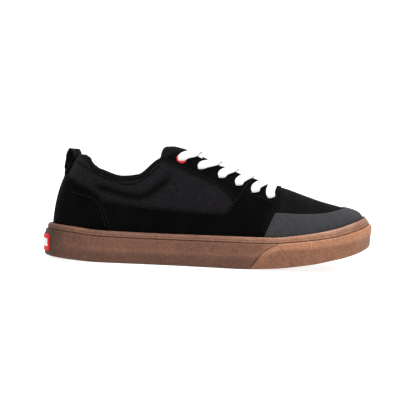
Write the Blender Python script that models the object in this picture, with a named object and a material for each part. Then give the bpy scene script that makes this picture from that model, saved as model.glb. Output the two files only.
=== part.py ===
"""Flat-pedal mountain bike shoe for the right foot, built as separate named pieces.

+X points to the toe, -Y is the lateral side, +Z is up, and the shoe stands on z = 0.
Sizes are millimetres in this script and metres in the meshes.
"""
from math import cos, pi, sin

import bpy
import numpy as np

MM = 0.001

# Clearance where two pieces meet
GAP = 0.3

# Wall of the upper, and of the suede pieces sewn on it
WALL = 2.2
OVERLAY = 1.3

# Distances in from the outline of the side band
STRIP_FACE = 3.0
CUP_WALL = 6.3
LAST_INSET = CUP_WALL + GAP + OVERLAY + GAP

# Stations from the heel round to the toe, used for the lateral and the medial side.
# foot_x, lateral, medial: outline of the side band. top_x, top_mid, top_half, top_z: edge of the
# collar and throat, then the ridge of the vamp. rise, flare: how far and at what angle from the
# vertical a rib leaves the cup. reach, dip: how far and at what angle below the horizontal it
# leaves the top. pad: collar padding. drop: how much lower the medial edge of the collar lies.
STATION_COLUMNS = (
    "foot_x", "lateral", "medial", "top_x", "top_mid", "top_half", "top_z",
    "rise", "flare", "reach", "dip", "pad", "drop",
)
STATIONS = (
    (-147.0, 0.0, 0.0, -119.0, 0.0, 0.0, 92.6, 34, 0, 26, 55, 4.5, 0.0),
    (-142.4, 16.5, 16.5, -116.5, 0.0, 11.5, 91.8, 34, 0, 26, 57, 4.5, 1.2),
    (-128.4, 30.0, 30.0, -109.0, 0.0, 21.5, 88.0, 30, 0, 23, 66, 4.5, 2.6),
    (-104.0, 36.8, 36.3, -95.0, -0.2, 27.0, 79.2, 24, 0, 18, 80, 4.5, 2.8),
    (-76.0, 37.8, 35.5, -77.0, -1.2, 28.0, 73.2, 22, 0, 16, 84, 4.5, 1.6),
    (-48.0, 38.2, 34.0, -61.0, -1.8, 26.5, 75.6, 24, 0, 18, 78, 4.5, 0.5),
    (-20.0, 40.0, 35.0, -46.0, -1.8, 22.8, 89.6, 30, -2, 24, 66, 3.5, 0.0),
    (8.0, 43.8, 39.0, -28.0, -1.2, 17.5, 100.0, 34, -4, 26, 50, 0.8, 0.0),
    (34.0, 48.2, 45.0, 5.0, -0.6, 15.0, 89.4, 32, -3, 25, 42, 0.0, 0.0),
    (58.0, 52.2, 50.4, 36.0, 0.0, 12.5, 78.6, 30, 0, 26, 32, 0.0, 0.0),
    (78.0, 53.8, 53.2, 59.0, 0.6, 9.5, 72.0, 29, 3, 28, 18, 0.0, 0.0),
    (96.0, 51.6, 53.4, 67.0, 1.2, 0.0, 71.0, 28, 5, 29, 3, 0.0, 0.0),
    (113.0, 45.0, 48.6, 83.0, 1.8, 0.0, 65.8, 27, 5, 28, 4, 0.0, 0.0),
    (127.2, 36.0, 40.6, 97.0, 2.4, 0.0, 61.3, 26, 4, 26, 6, 0.0, 0.0),
    (138.4, 24.5, 30.0, 108.0, 2.9, 0.0, 58.5, 26.5, 2.8, 24, 7, 0.0, 0.0),
    (146.0, 11.3, 17.5, 115.0, 3.2, 0.0, 56.8, 26.5, 1.9, 22, 8, 0.0, 0.0),
    (149.6, -3.4, 3.4, 118.0, 3.4, 0.0, 56.2, 27.5, 1.8, 21, 9, 0.0, 0.0),
)
RIDGE_STATION = 11
TOE_STATION = len(STATIONS) - 1
RIBS_PER_STATION = 2
RIB_COUNT = 2 * TOE_STATION * RIBS_PER_STATION
PLACES = np.arange(RIB_COUNT) / RIBS_PER_STATION

# Rows up each rib, as shares of the rib, and the row from which sewn-on pieces start
RIB_ROWS = (0.0, 0.15, 0.31, 0.46, 0.60, 0.73, 0.85, 0.94, 1.0)
OVERLAY_FIRST_ROW = 1

# Shares of a rib, from and to and how many, among which a setback from its top is looked up
SETBACK_SHARES = (0.5, 1.0, 101)

# Collar padding swells over this stretch of the rib, and its edge rolls over in so many rows
PAD_SHARES = (0.5, 0.9)
COLLAR_ROLL_ROWS = 2

# Heights along the sole: tread, cup floor, step under the strip, rim; tuck is how far the foot of
# the side band lies behind its top
SOLE_COLUMNS = ("x", "bottom", "floor", "step", "rim", "tuck")
SOLE_PROFILE = (
    (-148, 3.4, 16.0, 26.7, 32.2, -0.8),
    (-120, 1.4, 14.6, 24.8, 30.3, -0.5),
    (-92, 0.0, 13.5, 22.4, 27.8, 0.0),
    (-40, 0.0, 12.5, 22.0, 27.2, 0.0),
    (22, 0.0, 10.5, 22.4, 27.8, 0.0),
    (55, 1.6, 11.2, 23.1, 28.3, 0.3),
    (80, 4.9, 13.8, 25.8, 31.4, 0.8),
    (105, 9.3, 18.0, 29.4, 36.1, 1.4),
    (128, 14.6, 23.0, 34.8, 42.5, 1.6),
    (148, 21.3, 29.5, 41.5, 50.0, 1.4),
)

# Side band and strip, as (share of the height, distance in from the outline)
BAND_PROFILE = ((0.0, 1.3), (0.05, 0.4), (0.45, 0.0), (0.94, 0.8), (1.0, 1.5))
STRIP_PROFILE = (
    (0.0, CUP_WALL), (0.0, STRIP_FACE + 0.5), (0.12, STRIP_FACE), (0.36, STRIP_FACE),
    (0.43, STRIP_FACE + 0.7), (0.50, STRIP_FACE), (0.78, STRIP_FACE + 0.7), (1.0, STRIP_FACE + 2.2),
    (1.0, CUP_WALL),
)
TREAD_RIM = 6.0

# Transverse tread grooves under the heel and the forefoot
GROOVE_WIDTH = 3.2
GROOVE_DEPTH = 2.0
GROOVE_PITCH = 15.0
GROOVE_MARGIN = 11.0
GROOVE_RUNS = ((-122.0, -70.0), (14.0, 120.0))
CUT_PAST = 2.0

# Toe bumper: thickness, corners ahead of it, and its seam on the side, as (x, z)
BUMPER = 2.6
BUMPER_AHEAD = ((170.0, -4.0), (170.0, 60.0), (66.0, 60.0))
BUMPER_SEAM = (
    (64.5, 29.5), (61.8, 24.5), (58.8, 21.6), (53.4, 19.2), (48.1, 15.1), (44.0, 10.1), (40.9, 5.6),
    (37.3, 1.1), (34.5, -4.0),
)

# Heel tag: its places round the heel in stations, shares of the band's height, thickness
TAG_PLACES = (-1.3, -1.0, -0.5, 0.0, 0.5, 1.0, 1.3)
TAG_SHARES = (0.16, 0.34, 0.45, 0.62, 0.82)
TAG_THICKNESS = 0.9

# Footbed inside the upper
INSOLE_INSET = LAST_INSET + WALL + 0.7
INSOLE_HEIGHT = 4.0
INSOLE_CHAMFER = 1.2

# Sewn-on pieces seen from the side, as (x, z) round each outline
COUNTER_OUTLINE = (
    (-170, 82), (-133, 77.5), (-122, 72.8), (-112, 65.7), (-103, 61.3), (-97, 57.6), (-93.5, 54.3),
    (-91.6, 50.0), (-87.7, 39.7), (-83.8, 28.5), (-80, 10), (-170, 10),
)
PANEL_OUTLINE = (
    (-79.6, 10), (-83.4, 28.5), (-87.3, 39.7), (-91.1, 50.0), (-92.3, 52.8), (-76, 50.8),
    (-50, 47.9), (-24, 47.0), (-7, 46.7), (8, 46.9), (14.5, 48.2), (19, 50.8), (22.5, 55.5),
    (26.5, 62.3), (33.0, 73.7), (38.5, 84), (46, 92), (58, 92), (59.5, 76), (61.2, 72), (63.4, 66.5),
    (63.9, 60.5), (62.0, 56.5), (58.6, 52.5), (55.3, 46.2), (52.2, 38.2), (49.1, 29.5), (43.5, 10),
)
STAY_OUTLINE = (
    (-44.6, 92.2), (-31, 86.1), (-11.6, 78.1), (2.6, 72.2), (9.7, 69.0), (15.5, 65.2), (19.3, 61.0),
    (21.9, 55.7), (26.0, 62.6), (32.5, 74.0), (38.0, 84.4), (20, 110), (-22, 112),
)
GUARD_OUTLINE = (
    (43.9, 10), (49.5, 29.5), (52.6, 38.2), (55.7, 46.0), (57.6, 49.3), (66.8, 49.3), (80.3, 49.0),
    (88.9, 49.3), (96.5, 49.9), (103.2, 50.9), (109.0, 52.2), (114.0, 53.7), (118.2, 55.6),
    (121.0, 58.0), (122.0, 70), (170, 70), (170, 10),
)
SIDE_REACH = 80.0

# Lace holes: how far below the throat edge, where along the shoe, and how wide
EYELET_SETBACKS = (9.0, 11.2, 12.3, 14.5, 18.0, 21.5)
EYELET_X = (-25.2, -8.2, 10.2, 25.5, 40.0, 53.9)
EYELET_STATIONS = (6.0, RIDGE_STATION - 0.2)
EYELET_SAMPLES = 80
EYELET_RADIUS = 2.5
EYELET_SIDES = 6
EYELET_CUT = (-6.0, 4.0)
RING_RADIUS = 4.6
RING_HEIGHT = 0.7
RING_SIDES = 14

# Lace: flat and plump, clear of what it passes over. A strand climbs from its hole to the throat
# edge through these shares of the hole's setback while it advances by these shares of its lean, a
# share of the way to the next hole. It crosses the crown of the tongue further on by these shares of
# that way, and ends under the other strand, part of the way to the far edge.
LACE_WIDTH = 6.4
LACE_THICKNESS = 2.2
LACE_CLEAR = 1.45
LACE_POINTS = 11
LACE_SETBACKS = (1.0, 0.7, 0.38, 0.04)
LACE_ADVANCES = (0.0, 0.3, 0.64, 1.0)
LACE_LEANS = (0.66, 0.66, 0.62, 0.60, 0.36)
LACE_CROWN_ADVANCE = 0.15
LACE_END_ADVANCE = 0.20
LACE_END_ACROSS = 0.45
LACE_SECTION = ((-0.5, 0.0), (-0.32, -0.5), (0.32, -0.5), (0.5, 0.0), (0.32, 0.5), (-0.32, 0.5))

# Tongue sections: station, thickness, fullness of the arch across the throat
TONGUE_SECTIONS = (
    (6.5, 6.5, 0.51), (7.0, 6.0, 0.33), (7.5, 5.0, 0.29), (8.2, 4.5, 0.27), (9.0, 4.0, 0.29),
    (9.8, 3.6, 0.30), (10.5, 3.2, 0.31),
)
TONGUE_OVERLAP = (9.0, 4.5, 0.0)
TONGUE_ARCH = (0.25, 0.5, 0.75)
TONGUE_CLEAR = 0.5
TONGUE_TOP_END = (-3.0, 0.0, -1.2)
TONGUE_TOP_THIN = 3.0
TONGUE_FRONT_END = (9.0, 0.0, -4.6)

# Pull loop: webbing centre line in the middle plane as (x, z), bent round the heel
LOOP_PATH = (
    (-129.4, 79.5), (-131.0, 84.0), (-131.3, 89.5), (-130.4, 94.7), (-127.2, 98.3), (-122.8, 98.8),
    (-120.4, 96.2), (-121.3, 92.2), (-124.0, 87.3), (-127.0, 82.2),
)
LOOP_WIDTH = 20.0
LOOP_THICKNESS = 1.3
LOOP_BEND_RADIUS = 34.0
LOOP_COLUMNS = 5


def monotone(xs, ys, x, end_slopes=True):
    """Monotone cubic through a table's points; without end slopes it leaves both ends level."""
    xs = np.asarray(xs, float)
    ys = np.asarray(ys, float)
    steps = np.diff(xs)
    slopes = np.diff(ys) / steps
    tangents = np.zeros(len(xs))
    product = slopes[:-1] * slopes[1:]
    total = np.where(product > 0, slopes[:-1] + slopes[1:], 1.0)
    tangents[1:-1] = np.where(product > 0, 2 * product / total, 0.0)
    if end_slopes:
        tangents[0] = slopes[0]
        tangents[-1] = slopes[-1]
    x = np.clip(np.asarray(x, float), xs[0], xs[-1])
    i = np.clip(np.searchsorted(xs, x, side="right") - 1, 0, len(steps) - 1)
    f = (x - xs[i]) / steps[i]
    return (
        ys[i] * (1 + 2 * f) * (1 - f) ** 2
        + ys[i + 1] * f * f * (3 - 2 * f)
        + tangents[i] * steps[i] * f * (1 - f) ** 2
        - tangents[i + 1] * steps[i] * f * f * (1 - f)
    )


def closed_spline(points, place):
    """Cubic B-spline through a closed ring of points, read at places counted in points."""
    count = len(points)
    unit = np.eye(count)
    mix = (4 * unit + np.roll(unit, 1, axis=0) + np.roll(unit, -1, axis=0)) / 6
    hull = np.linalg.solve(mix, np.asarray(points, float))
    i = np.floor(place).astype(int)
    f = (place - i)[:, None]
    weights = ((1 - f) ** 3, 3 * f**3 - 6 * f**2 + 4, -3 * f**3 + 3 * f**2 + 3 * f + 1, f**3)
    return sum(w / 6 * hull[(i + k - 1) % count] for k, w in enumerate(weights))


def resample(points, count):
    """Smooth open curve through a few points, read at evenly spaced places."""
    points = np.asarray(points)
    places = np.linspace(0, len(points) - 1, count)
    return np.column_stack([monotone(range(len(points)), axis, places) for axis in points.T])


def unit_rows(vectors):
    """Each row at length one."""
    return vectors / np.linalg.norm(vectors, axis=-1, keepdims=True)


def station_column(name, station):
    """A column of the station table, read at station numbers."""
    values = [row[STATION_COLUMNS.index(name)] for row in STATIONS]
    return monotone(range(len(STATIONS)), values, station, end_slopes=name == "top_half")


def sole_height(name, x):
    """A column of the sole table at lengthwise positions."""
    xs = [row[0] for row in SOLE_PROFILE]
    return monotone(xs, [row[SOLE_COLUMNS.index(name)] for row in SOLE_PROFILE], x)


def fold(place):
    """Station number and side (-1 lateral, 1 medial) of places round the whole loop."""
    place = np.asarray(place, float) % (2 * TOE_STATION)
    lateral = place <= TOE_STATION
    return np.where(lateral, place, 2 * TOE_STATION - place), np.where(lateral, -1.0, 1.0)


def side_place(station, side):
    """Place round the loop of a station on a side."""
    return station if side < 0 else 2 * TOE_STATION - station


def outline(place, inset):
    """Points of the sole outline moved in by inset, and the outward normals there."""
    lateral = [(row[0], -row[1]) for row in STATIONS]
    medial = [(row[0], row[2]) for row in STATIONS[-2:0:-1]]
    ring = lateral + medial
    place = np.asarray(place, float)
    step = 0.01
    along = closed_spline(ring, place + step) - closed_spline(ring, place - step)
    normal = unit_rows(np.stack((along[:, 1], -along[:, 0]), axis=1))
    inset = np.broadcast_to(inset, place.shape)
    return closed_spline(ring, place) - normal * inset[:, None], normal


def cubic(hull, f):
    """Cubic curve or surface on four hull points."""
    a, b, c, d = hull
    return a * (1 - f) ** 3 + b * 3 * f * (1 - f) ** 2 + c * 3 * f * f * (1 - f) + d * f**3


def last_points(place, shares):
    """Outer surface of the upper: a cubic rib at each place, read at shares of its height."""
    station, side = fold(place)
    col = {name: station_column(name, station) for name in STATION_COLUMNS[3:]}
    foot, normal = outline(place, LAST_INSET)
    start = np.column_stack((foot, sole_height("floor", foot[:, 0]) + GAP))
    top_y = col["top_mid"] + side * col["top_half"]
    top_z = col["top_z"] - np.where(side > 0, col["drop"], 0.0)
    end = np.column_stack((col["top_x"], top_y, top_z))
    flare = np.radians(col["flare"])
    dip = np.radians(col["dip"])
    leave = np.column_stack((normal * np.sin(flare)[:, None], np.cos(flare)))
    arrive = np.column_stack((normal * np.cos(dip)[:, None], -np.sin(dip)))
    lower = start + leave * col["rise"][:, None]
    upper = end + arrive * col["reach"][:, None]
    hull = [point[:, None, :] for point in (start, lower, upper, end)]
    return cubic(hull, np.asarray(shares, float)[None, :, None])


def rib_share(place, setback):
    """Share of the rib at a distance along it below the top edge."""
    shares = np.linspace(*SETBACK_SHARES)
    rib = last_points(np.array([place]), shares)[0]
    steps = np.linalg.norm(np.diff(rib, axis=0), axis=1)
    below = np.concatenate((np.cumsum(steps[::-1])[::-1], [0.0]))
    return float(np.interp(-setback, -below, shares))


def last_frame(place, setback):
    """Point, outward normal and upward direction on the upper, a distance below its top edge."""
    step = 0.02
    share = rib_share(place, setback)
    ahead = last_points(np.array([place + step, place - step]), [share])[:, 0]
    lower, point = last_points(np.array([place]), [share - step, share])[0]
    normal = unit_rows(np.cross(ahead[0] - ahead[1], point - lower))
    return point, normal, unit_rows(point - lower)


def vertex_normals(points, faces):
    """Area-weighted vertex normals of triangles."""
    faces = np.asarray(faces)
    a, b, c = (points[faces[:, k]] for k in range(3))
    cross = np.cross(b - a, c - a)
    normals = np.zeros_like(points)
    for k in range(3):
        np.add.at(normals, faces[:, k], cross)
    return unit_rows(normals)


class LastSurface:
    """The upper's outer surface as a welded triangle grid that can be offset along its normals."""

    def __init__(self):
        rows = len(RIB_ROWS)
        grid = last_points(PLACES, RIB_ROWS)
        index = np.arange(RIB_COUNT * rows).reshape(RIB_COUNT, rows)
        ridge = RIDGE_STATION * RIBS_PER_STATION
        for rib in range(RIB_COUNT // 2 + 1, RIB_COUNT - ridge + 1):
            index[rib, -1] = index[RIB_COUNT - rib, -1]
        used, flat = np.unique(index, return_inverse=True)
        self.index = flat.reshape(index.shape)
        self.points = grid.reshape(-1, 3)[used]
        self.share = np.tile(RIB_ROWS, RIB_COUNT)[used]
        self.pad = np.repeat(station_column("pad", fold(PLACES)[0]), rows)[used]
        self.rim = list(self.index[: ridge + 1, -1]) + list(self.index[RIB_COUNT - ridge + 1 :, -1])
        self.normals = vertex_normals(self.points, self.faces(0))

    def faces(self, first_row):
        """Triangles from a row of the grid upward, facing out."""
        triangles = []
        for rib in range(RIB_COUNT):
            here = self.index[rib]
            after = self.index[(rib + 1) % RIB_COUNT]
            for row in range(first_row, len(RIB_ROWS) - 1):
                triangles.append((here[row], after[row], after[row + 1]))
                triangles.append((here[row], after[row + 1], here[row + 1]))
        return triangles

    def layer(self, distance):
        """The surface moved out by a distance, the same everywhere or one for each vertex."""
        return self.points + self.normals * np.reshape(distance, (-1, 1))

    def shell(self, outer, inner, first_row, roll_rows):
        """Closed wall between two layers, with its free edge rolled over in extra rows."""
        count = len(self.points)
        skin = self.faces(first_row)
        faces = skin + [(c + count, b + count, a + count) for a, b, c in skin]
        foot = list(self.index[:, first_row])
        faces += edge_wall(foot, count)
        edge = (outer[self.rim] + inner[self.rim]) / 2
        half = (outer[self.rim] - inner[self.rim]) / 2
        along = np.roll(edge, -1, axis=0) - np.roll(edge, 1, axis=0)
        lift = unit_rows(np.cross(half, along)) * np.linalg.norm(half, axis=1, keepdims=True)
        levels = [self.rim]
        extra = []
        for k in range(1, roll_rows + 1):
            turn = pi * k / (roll_rows + 1)
            levels.append([2 * count + len(extra) + i for i in range(len(self.rim))])
            extra.extend(edge + half * cos(turn) + lift * sin(turn))
        levels.append([i + count for i in self.rim])
        for low, high in zip(levels, levels[1:]):
            for i in range(len(low)):
                j = (i + 1) % len(low)
                faces += [(low[i], low[j], high[j]), (low[i], high[j], high[i])]
        points = np.vstack((outer, inner, np.reshape(extra, (-1, 3))))
        used, flat = np.unique(np.asarray(faces), return_inverse=True)
        return points[used], flat.reshape(-1, 3).tolist()


def edge_wall(edge, count):
    """Wall from a skin's edge to the same edge of the skin behind it, count points on."""
    faces = []
    for a, b in zip(edge, edge[1:] + edge[:1]):
        faces += [(b, a, a + count), (b, a + count, b + count)]
    return faces


def ring_sides(low, high, count):
    """Triangles between two rings of points that start at two indices."""
    faces = []
    for i in range(count):
        j = (i + 1) % count
        faces += [(low + i, low + j, high + j), (low + i, high + j, high + i)]
    return faces


def strips_across(count):
    """Triangles that join the two sides of a ring, facing up."""
    triangles = [(0, 1, count - 1)]
    for i in range(1, count // 2 - 1):
        triangles += [(i, i + 1, count - i), (i + 1, count - i - 1, count - i)]
    triangles.append((count // 2 - 1, count // 2, count // 2 + 1))
    return triangles


def ring_stack(rings):
    """Closed solid through a stack of rings, its first and last ring closed by strips across."""
    count = len(rings[0])
    last = count * (len(rings) - 1)
    faces = []
    for level in range(len(rings) - 1):
        faces += ring_sides(level * count, (level + 1) * count, count)
    for a, b, c in strips_across(count):
        faces += [(c, b, a), (last + a, last + b, last + c)]
    return np.vstack(rings), faces


def ring_loop(rings):
    """Closed ring-shaped solid through a loop of rings, faces turned outward."""
    count = len(rings[0])
    faces = []
    for level in range(len(rings)):
        faces += ring_sides(level * count, (level + 1) % len(rings) * count, count)
    return outward(np.vstack(rings), faces)


def outward(points, faces):
    """The same solid with its faces turned outward."""
    a, b, c = (points[np.asarray(faces)[:, k]] for k in range(3))
    if np.sum(a * np.cross(b, c)) < 0:
        faces = [face[::-1] for face in faces]
    return points, faces


def grid_slab(outer, inner):
    """Closed slab between two grids; along the rows and then the columns turns outward."""
    rows, columns = outer.shape[:2]
    count = rows * columns
    skin = grid_triangles(rows, columns)
    faces = skin + [(c + count, b + count, a + count) for a, b, c in skin]
    edge = [i * columns for i in range(rows - 1)]
    edge += [(rows - 1) * columns + j for j in range(columns - 1)]
    edge += [i * columns + columns - 1 for i in range(rows - 1, 0, -1)]
    edge += list(range(columns - 1, 0, -1))
    faces += edge_wall(edge, count)
    return np.vstack((outer.reshape(-1, 3), inner.reshape(-1, 3))), faces


def grid_triangles(rows, columns):
    """Triangles of a grid of points listed row by row."""
    triangles = []
    for i in range(rows - 1):
        for j in range(columns - 1):
            a = i * columns + j
            triangles += [(a, a + columns, a + columns + 1), (a, a + columns + 1, a + 1)]
    return triangles


def sole_ring(inset, height):
    """Ring at a distance in from the outline, with its height read from x."""
    xy, _ = outline(PLACES, inset)
    return np.column_stack((xy, height(xy[:, 0])))


def band_points(place, share, inset):
    """Points of the side band at a share of its height, with the tuck of its foot."""
    x = outline(place, 0.0)[0][:, 0]
    xy, _ = outline(place, inset + sole_height("tuck", x) * (1 - share))
    bottom = sole_height("bottom", xy[:, 0])
    return np.column_stack((xy, bottom + share * (sole_height("step", xy[:, 0]) - bottom)))


def strip_ring(share, inset):
    """Ring of the foxing strip at a share of its height, which is read along its inner wall."""
    inner_x = outline(PLACES, CUP_WALL)[0][:, 0]
    xy, _ = outline(PLACES, inset)
    foot = sole_height("step", xy[:, 0]) + GAP
    rim = sole_height("rim", inner_x)
    return np.column_stack((xy, foot + share * (rim - foot)))


def material(name, color, roughness):
    """Plain Principled material."""
    made = bpy.data.materials.new(name)
    made.use_nodes = True
    shader = made.node_tree.nodes["Principled BSDF"]
    shader.inputs["Base Color"].default_value = (*color, 1.0)
    shader.inputs["Roughness"].default_value = roughness
    return made


def add_object(name, solid, finish):
    """Mesh object from points in millimetres and faces."""
    points, faces = solid
    mesh = bpy.data.meshes.new(name)
    mesh.from_pydata((np.asarray(points) * MM).tolist(), [], faces)
    mesh.update()
    if finish:
        mesh.materials.append(finish)
    made = bpy.data.objects.new(name, mesh)
    bpy.context.scene.collection.objects.link(made)
    return made


def add_cutter(name, solid):
    """Object used only to cut others or to be joined to them."""
    made = add_object(name, solid, None)
    made.hide_render = True
    made.display_type = "WIRE"
    return made


def combine(target, other, operation):
    """Boolean of a target with another object."""
    step = target.modifiers.new(other.name, "BOOLEAN")
    step.operation = operation
    step.solver = "EXACT"
    step.object = other


def side_prism(points, y_from, y_to):
    """Prism across the shoe over an outline given in (x, z)."""
    count = len(points)
    corners = np.array([(x, y, z) for y in (y_from, y_to) for x, z in points], float)
    faces = [tuple(range(count)), tuple(range(2 * count - 1, count - 1, -1))]
    for i in range(count):
        j = (i + 1) % count
        faces.append((j, i, i + count, j + count))
    pairs = zip(points, points[1:] + points[:1])
    if sum(a[0] * b[1] - b[0] * a[1] for a, b in pairs) < 0:
        faces = [face[::-1] for face in faces]
    return corners, faces


def tread_grooves():
    """Boxes across the tread, as one set of points and faces."""
    points = []
    faces = []
    box = ((1, 3, 2, 0), (6, 7, 5, 4), (4, 5, 1, 0), (3, 7, 6, 2), (2, 6, 4, 0), (5, 7, 3, 1))
    for start, stop in GROOVE_RUNS:
        for x in np.arange(start, stop, GROOVE_PITCH):
            lateral = np.interp(x, [r[0] for r in STATIONS], [r[1] for r in STATIONS]) - GROOVE_MARGIN
            medial = np.interp(x, [r[0] for r in STATIONS], [r[2] for r in STATIONS]) - GROOVE_MARGIN
            base = len(points)
            for edge in (x - GROOVE_WIDTH / 2, x + GROOVE_WIDTH / 2):
                bottom = float(sole_height("bottom", edge))
                for y in (-lateral, medial):
                    points += [(edge, y, bottom - CUT_PAST), (edge, y, bottom + GROOVE_DEPTH)]
            faces += [tuple(base + i for i in face) for face in box]
    return np.array(points), faces


def add_sole():
    """Outsole cup, toe bumper, foxing strip and heel tag."""
    gum = material("gum_rubber", (0.20, 0.10, 0.065), 0.6)
    toe_gum = material("toe_gum_rubber", (0.33, 0.17, 0.11), 0.6)
    red = material("red_rubber", (0.85, 0.03, 0.03), 0.5)

    side = [band_points(PLACES, share, inset) for share, inset in BAND_PROFILE]
    cup = [sole_ring(TREAD_RIM, lambda x: sole_height("bottom", x)), *side]
    cup.append(sole_ring(CUP_WALL, lambda x: sole_height("step", x)))
    cup.append(sole_ring(CUP_WALL, lambda x: sole_height("floor", x)))
    outsole = add_object("outsole", ring_stack(cup), gum)

    back = [band_points(PLACES, share, BUMPER) for share in (1.0, 0.0)]
    bumper = add_object("toe_bumper", ring_loop(side + back), toe_gum)
    front = side_prism(BUMPER_AHEAD + BUMPER_SEAM, -SIDE_REACH, SIDE_REACH)
    seam = add_cutter("bumper_front", front)
    combine(bumper, seam, "INTERSECT")

    recess_rings = []
    for share, inset in ((0.0, -CUT_PAST), (1.0, -CUT_PAST), (1.0, BUMPER + GAP), (0.0, BUMPER + GAP)):
        ring = band_points(PLACES, share, inset)
        ring[:, 2] += CUT_PAST if share else -CUT_PAST
        recess_rings.append(ring)
    recess = add_cutter("bumper_recess", ring_loop(recess_rings))
    behind = tuple((x - GAP, z) for x, z in BUMPER_SEAM)
    recess_front = side_prism(BUMPER_AHEAD + behind, -SIDE_REACH, SIDE_REACH)
    combine(recess, add_cutter("recess_front", recess_front), "INTERSECT")
    combine(outsole, recess, "DIFFERENCE")
    combine(outsole, add_cutter("tread_grooves", tread_grooves()), "DIFFERENCE")

    strip = [strip_ring(share, inset) for share, inset in STRIP_PROFILE]
    add_object("foxing_strip", ring_loop(strip), gum)

    places = np.array(TAG_PLACES)
    shares, insets = zip(*BAND_PROFILE)
    faces = []
    for offset in (GAP + TAG_THICKNESS, GAP):
        columns = [band_points(places, s, np.interp(s, shares, insets) - offset) for s in TAG_SHARES]
        faces.append(np.stack(columns, axis=1))
    add_object("heel_tag", grid_slab(*faces), red)


def add_insole():
    """Footbed on the cup floor."""
    levels = ((GAP, 0.0), (INSOLE_HEIGHT - INSOLE_CHAMFER, 0.0), (INSOLE_HEIGHT, INSOLE_CHAMFER))
    rings = []
    for rise, inset in levels:
        rings.append(sole_ring(INSOLE_INSET + inset, lambda x: sole_height("floor", x) + rise))
    add_object("insole", ring_stack(rings), material("footbed", (0.03, 0.03, 0.03), 0.9))


def eyelet_stations():
    """Stations whose ribs carry the lace holes."""
    stations = np.linspace(*EYELET_STATIONS, EYELET_SAMPLES)
    found = []
    for x, setback in zip(EYELET_X, EYELET_SETBACKS):
        xs = [last_frame(station, setback)[0][0] for station in stations]
        found.append(float(np.interp(x, xs, stations)))
    return found


def ring_points(centre, axis, radius, height, sides):
    """Circle of points about an axis."""
    across = unit_rows(np.cross(axis, (1.0, 0.0, 0.0)))
    turned = np.cross(axis, across)
    angles = np.arange(sides) * 2 * pi / sides
    circle = across * np.cos(angles)[:, None] + turned * np.sin(angles)[:, None]
    return centre + axis * height + circle * radius


def eyelet_cutters(stations):
    """Plugs through every lace hole, joined in one object."""
    points = []
    faces = []
    for side in (-1, 1):
        for station, setback in zip(stations, EYELET_SETBACKS):
            centre, normal, _ = last_frame(side_place(station, side), setback)
            base = len(points)
            for height in EYELET_CUT:
                points.extend(ring_points(centre, normal, EYELET_RADIUS, height, EYELET_SIDES))
            faces += ring_sides(base, base + EYELET_SIDES, EYELET_SIDES)
            faces.append(tuple(range(base + EYELET_SIDES - 1, base - 1, -1)))
            faces.append(tuple(range(base + EYELET_SIDES, base + 2 * EYELET_SIDES)))
    return add_cutter("lace_holes", (np.array(points), faces))


def add_upper(last, holes):
    """Hollow upper with its padded collar, and the suede pieces sewn on it."""
    swell = np.clip((last.share - PAD_SHARES[0]) / (PAD_SHARES[1] - PAD_SHARES[0]), 0, 1)
    thickness = WALL + last.pad * swell * swell * (3 - 2 * swell)
    wall = last.shell(last.points, last.layer(-thickness), 0, COLLAR_ROLL_ROWS)
    upper = add_object("upper", wall, material("canvas", (0.02, 0.02, 0.022), 0.9))
    combine(upper, holes, "DIFFERENCE")

    suede = material("black_suede", (0.004, 0.004, 0.004), 0.95)
    rubber = material("toe_guard_rubber", (0.04, 0.042, 0.05), 0.8)
    pieces = (
        ("heel_counter", COUNTER_OUTLINE, -1, 1, suede, False),
        ("toe_guard", GUARD_OUTLINE, -1, 1, rubber, False),
        ("side_panel_lateral", PANEL_OUTLINE, -1, 0, suede, True),
        ("side_panel_medial", PANEL_OUTLINE, 0, 1, suede, True),
        ("eyestay_lateral", STAY_OUTLINE, -1, 0, suede, True),
        ("eyestay_medial", STAY_OUTLINE, 0, 1, suede, True),
    )
    skin = last.shell(last.layer(GAP + OVERLAY), last.layer(GAP), OVERLAY_FIRST_ROW, 0)
    for name, points, y_from, y_to, finish, laced in pieces:
        piece = add_object(name, skin, finish)
        prism = side_prism(points, y_from * SIDE_REACH, y_to * SIDE_REACH)
        combine(piece, add_cutter(name + "_outline", prism), "INTERSECT")
        if laced:
            combine(piece, holes, "DIFFERENCE")


def tongue_section(station):
    """Points across the tongue's top face, from its lateral edge to its medial edge."""
    stations, _, fullness = zip(*TONGUE_SECTIONS)
    depth = WALL + float(station_column("pad", station)) + TONGUE_CLEAR
    halves = []
    for side in (-1, 1):
        frames = [last_frame(side_place(station, side), setback) for setback in TONGUE_OVERLAP]
        halves.append(np.array([point - normal * depth for point, normal, _ in frames]))
        halves.append(frames[-1][2])
    lateral, lateral_up, medial, medial_up = halves
    swell = np.linalg.norm(medial[-1] - lateral[-1]) * np.interp(station, stations, fullness)
    hull = (
        lateral[-1], lateral[-1] + lateral_up * swell, medial[-1] + medial_up * swell, medial[-1],
    )
    arch = [cubic(hull, share) for share in TONGUE_ARCH]
    return np.vstack((lateral, arch, medial[::-1]))


def add_tongue():
    """Padded tongue that follows the inside of the throat and shows across its gap."""
    sections = [tongue_section(row[0]) for row in TONGUE_SECTIONS]
    thickness = [row[1] for row in TONGUE_SECTIONS]
    sections = [sections[0] + TONGUE_TOP_END, *sections, sections[-1] + TONGUE_FRONT_END]
    thickness = [thickness[0] - TONGUE_TOP_THIN, *thickness, thickness[-1]]
    outer = np.stack(sections)
    rows, columns = outer.shape[:2]
    normals = vertex_normals(outer.reshape(-1, 3), grid_triangles(rows, columns)).reshape(outer.shape)
    inner = outer - normals * np.reshape(thickness, (-1, 1, 1))
    add_object("tongue", grid_slab(outer, inner), material("tongue_cloth", (0.015, 0.015, 0.016), 0.9))


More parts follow.
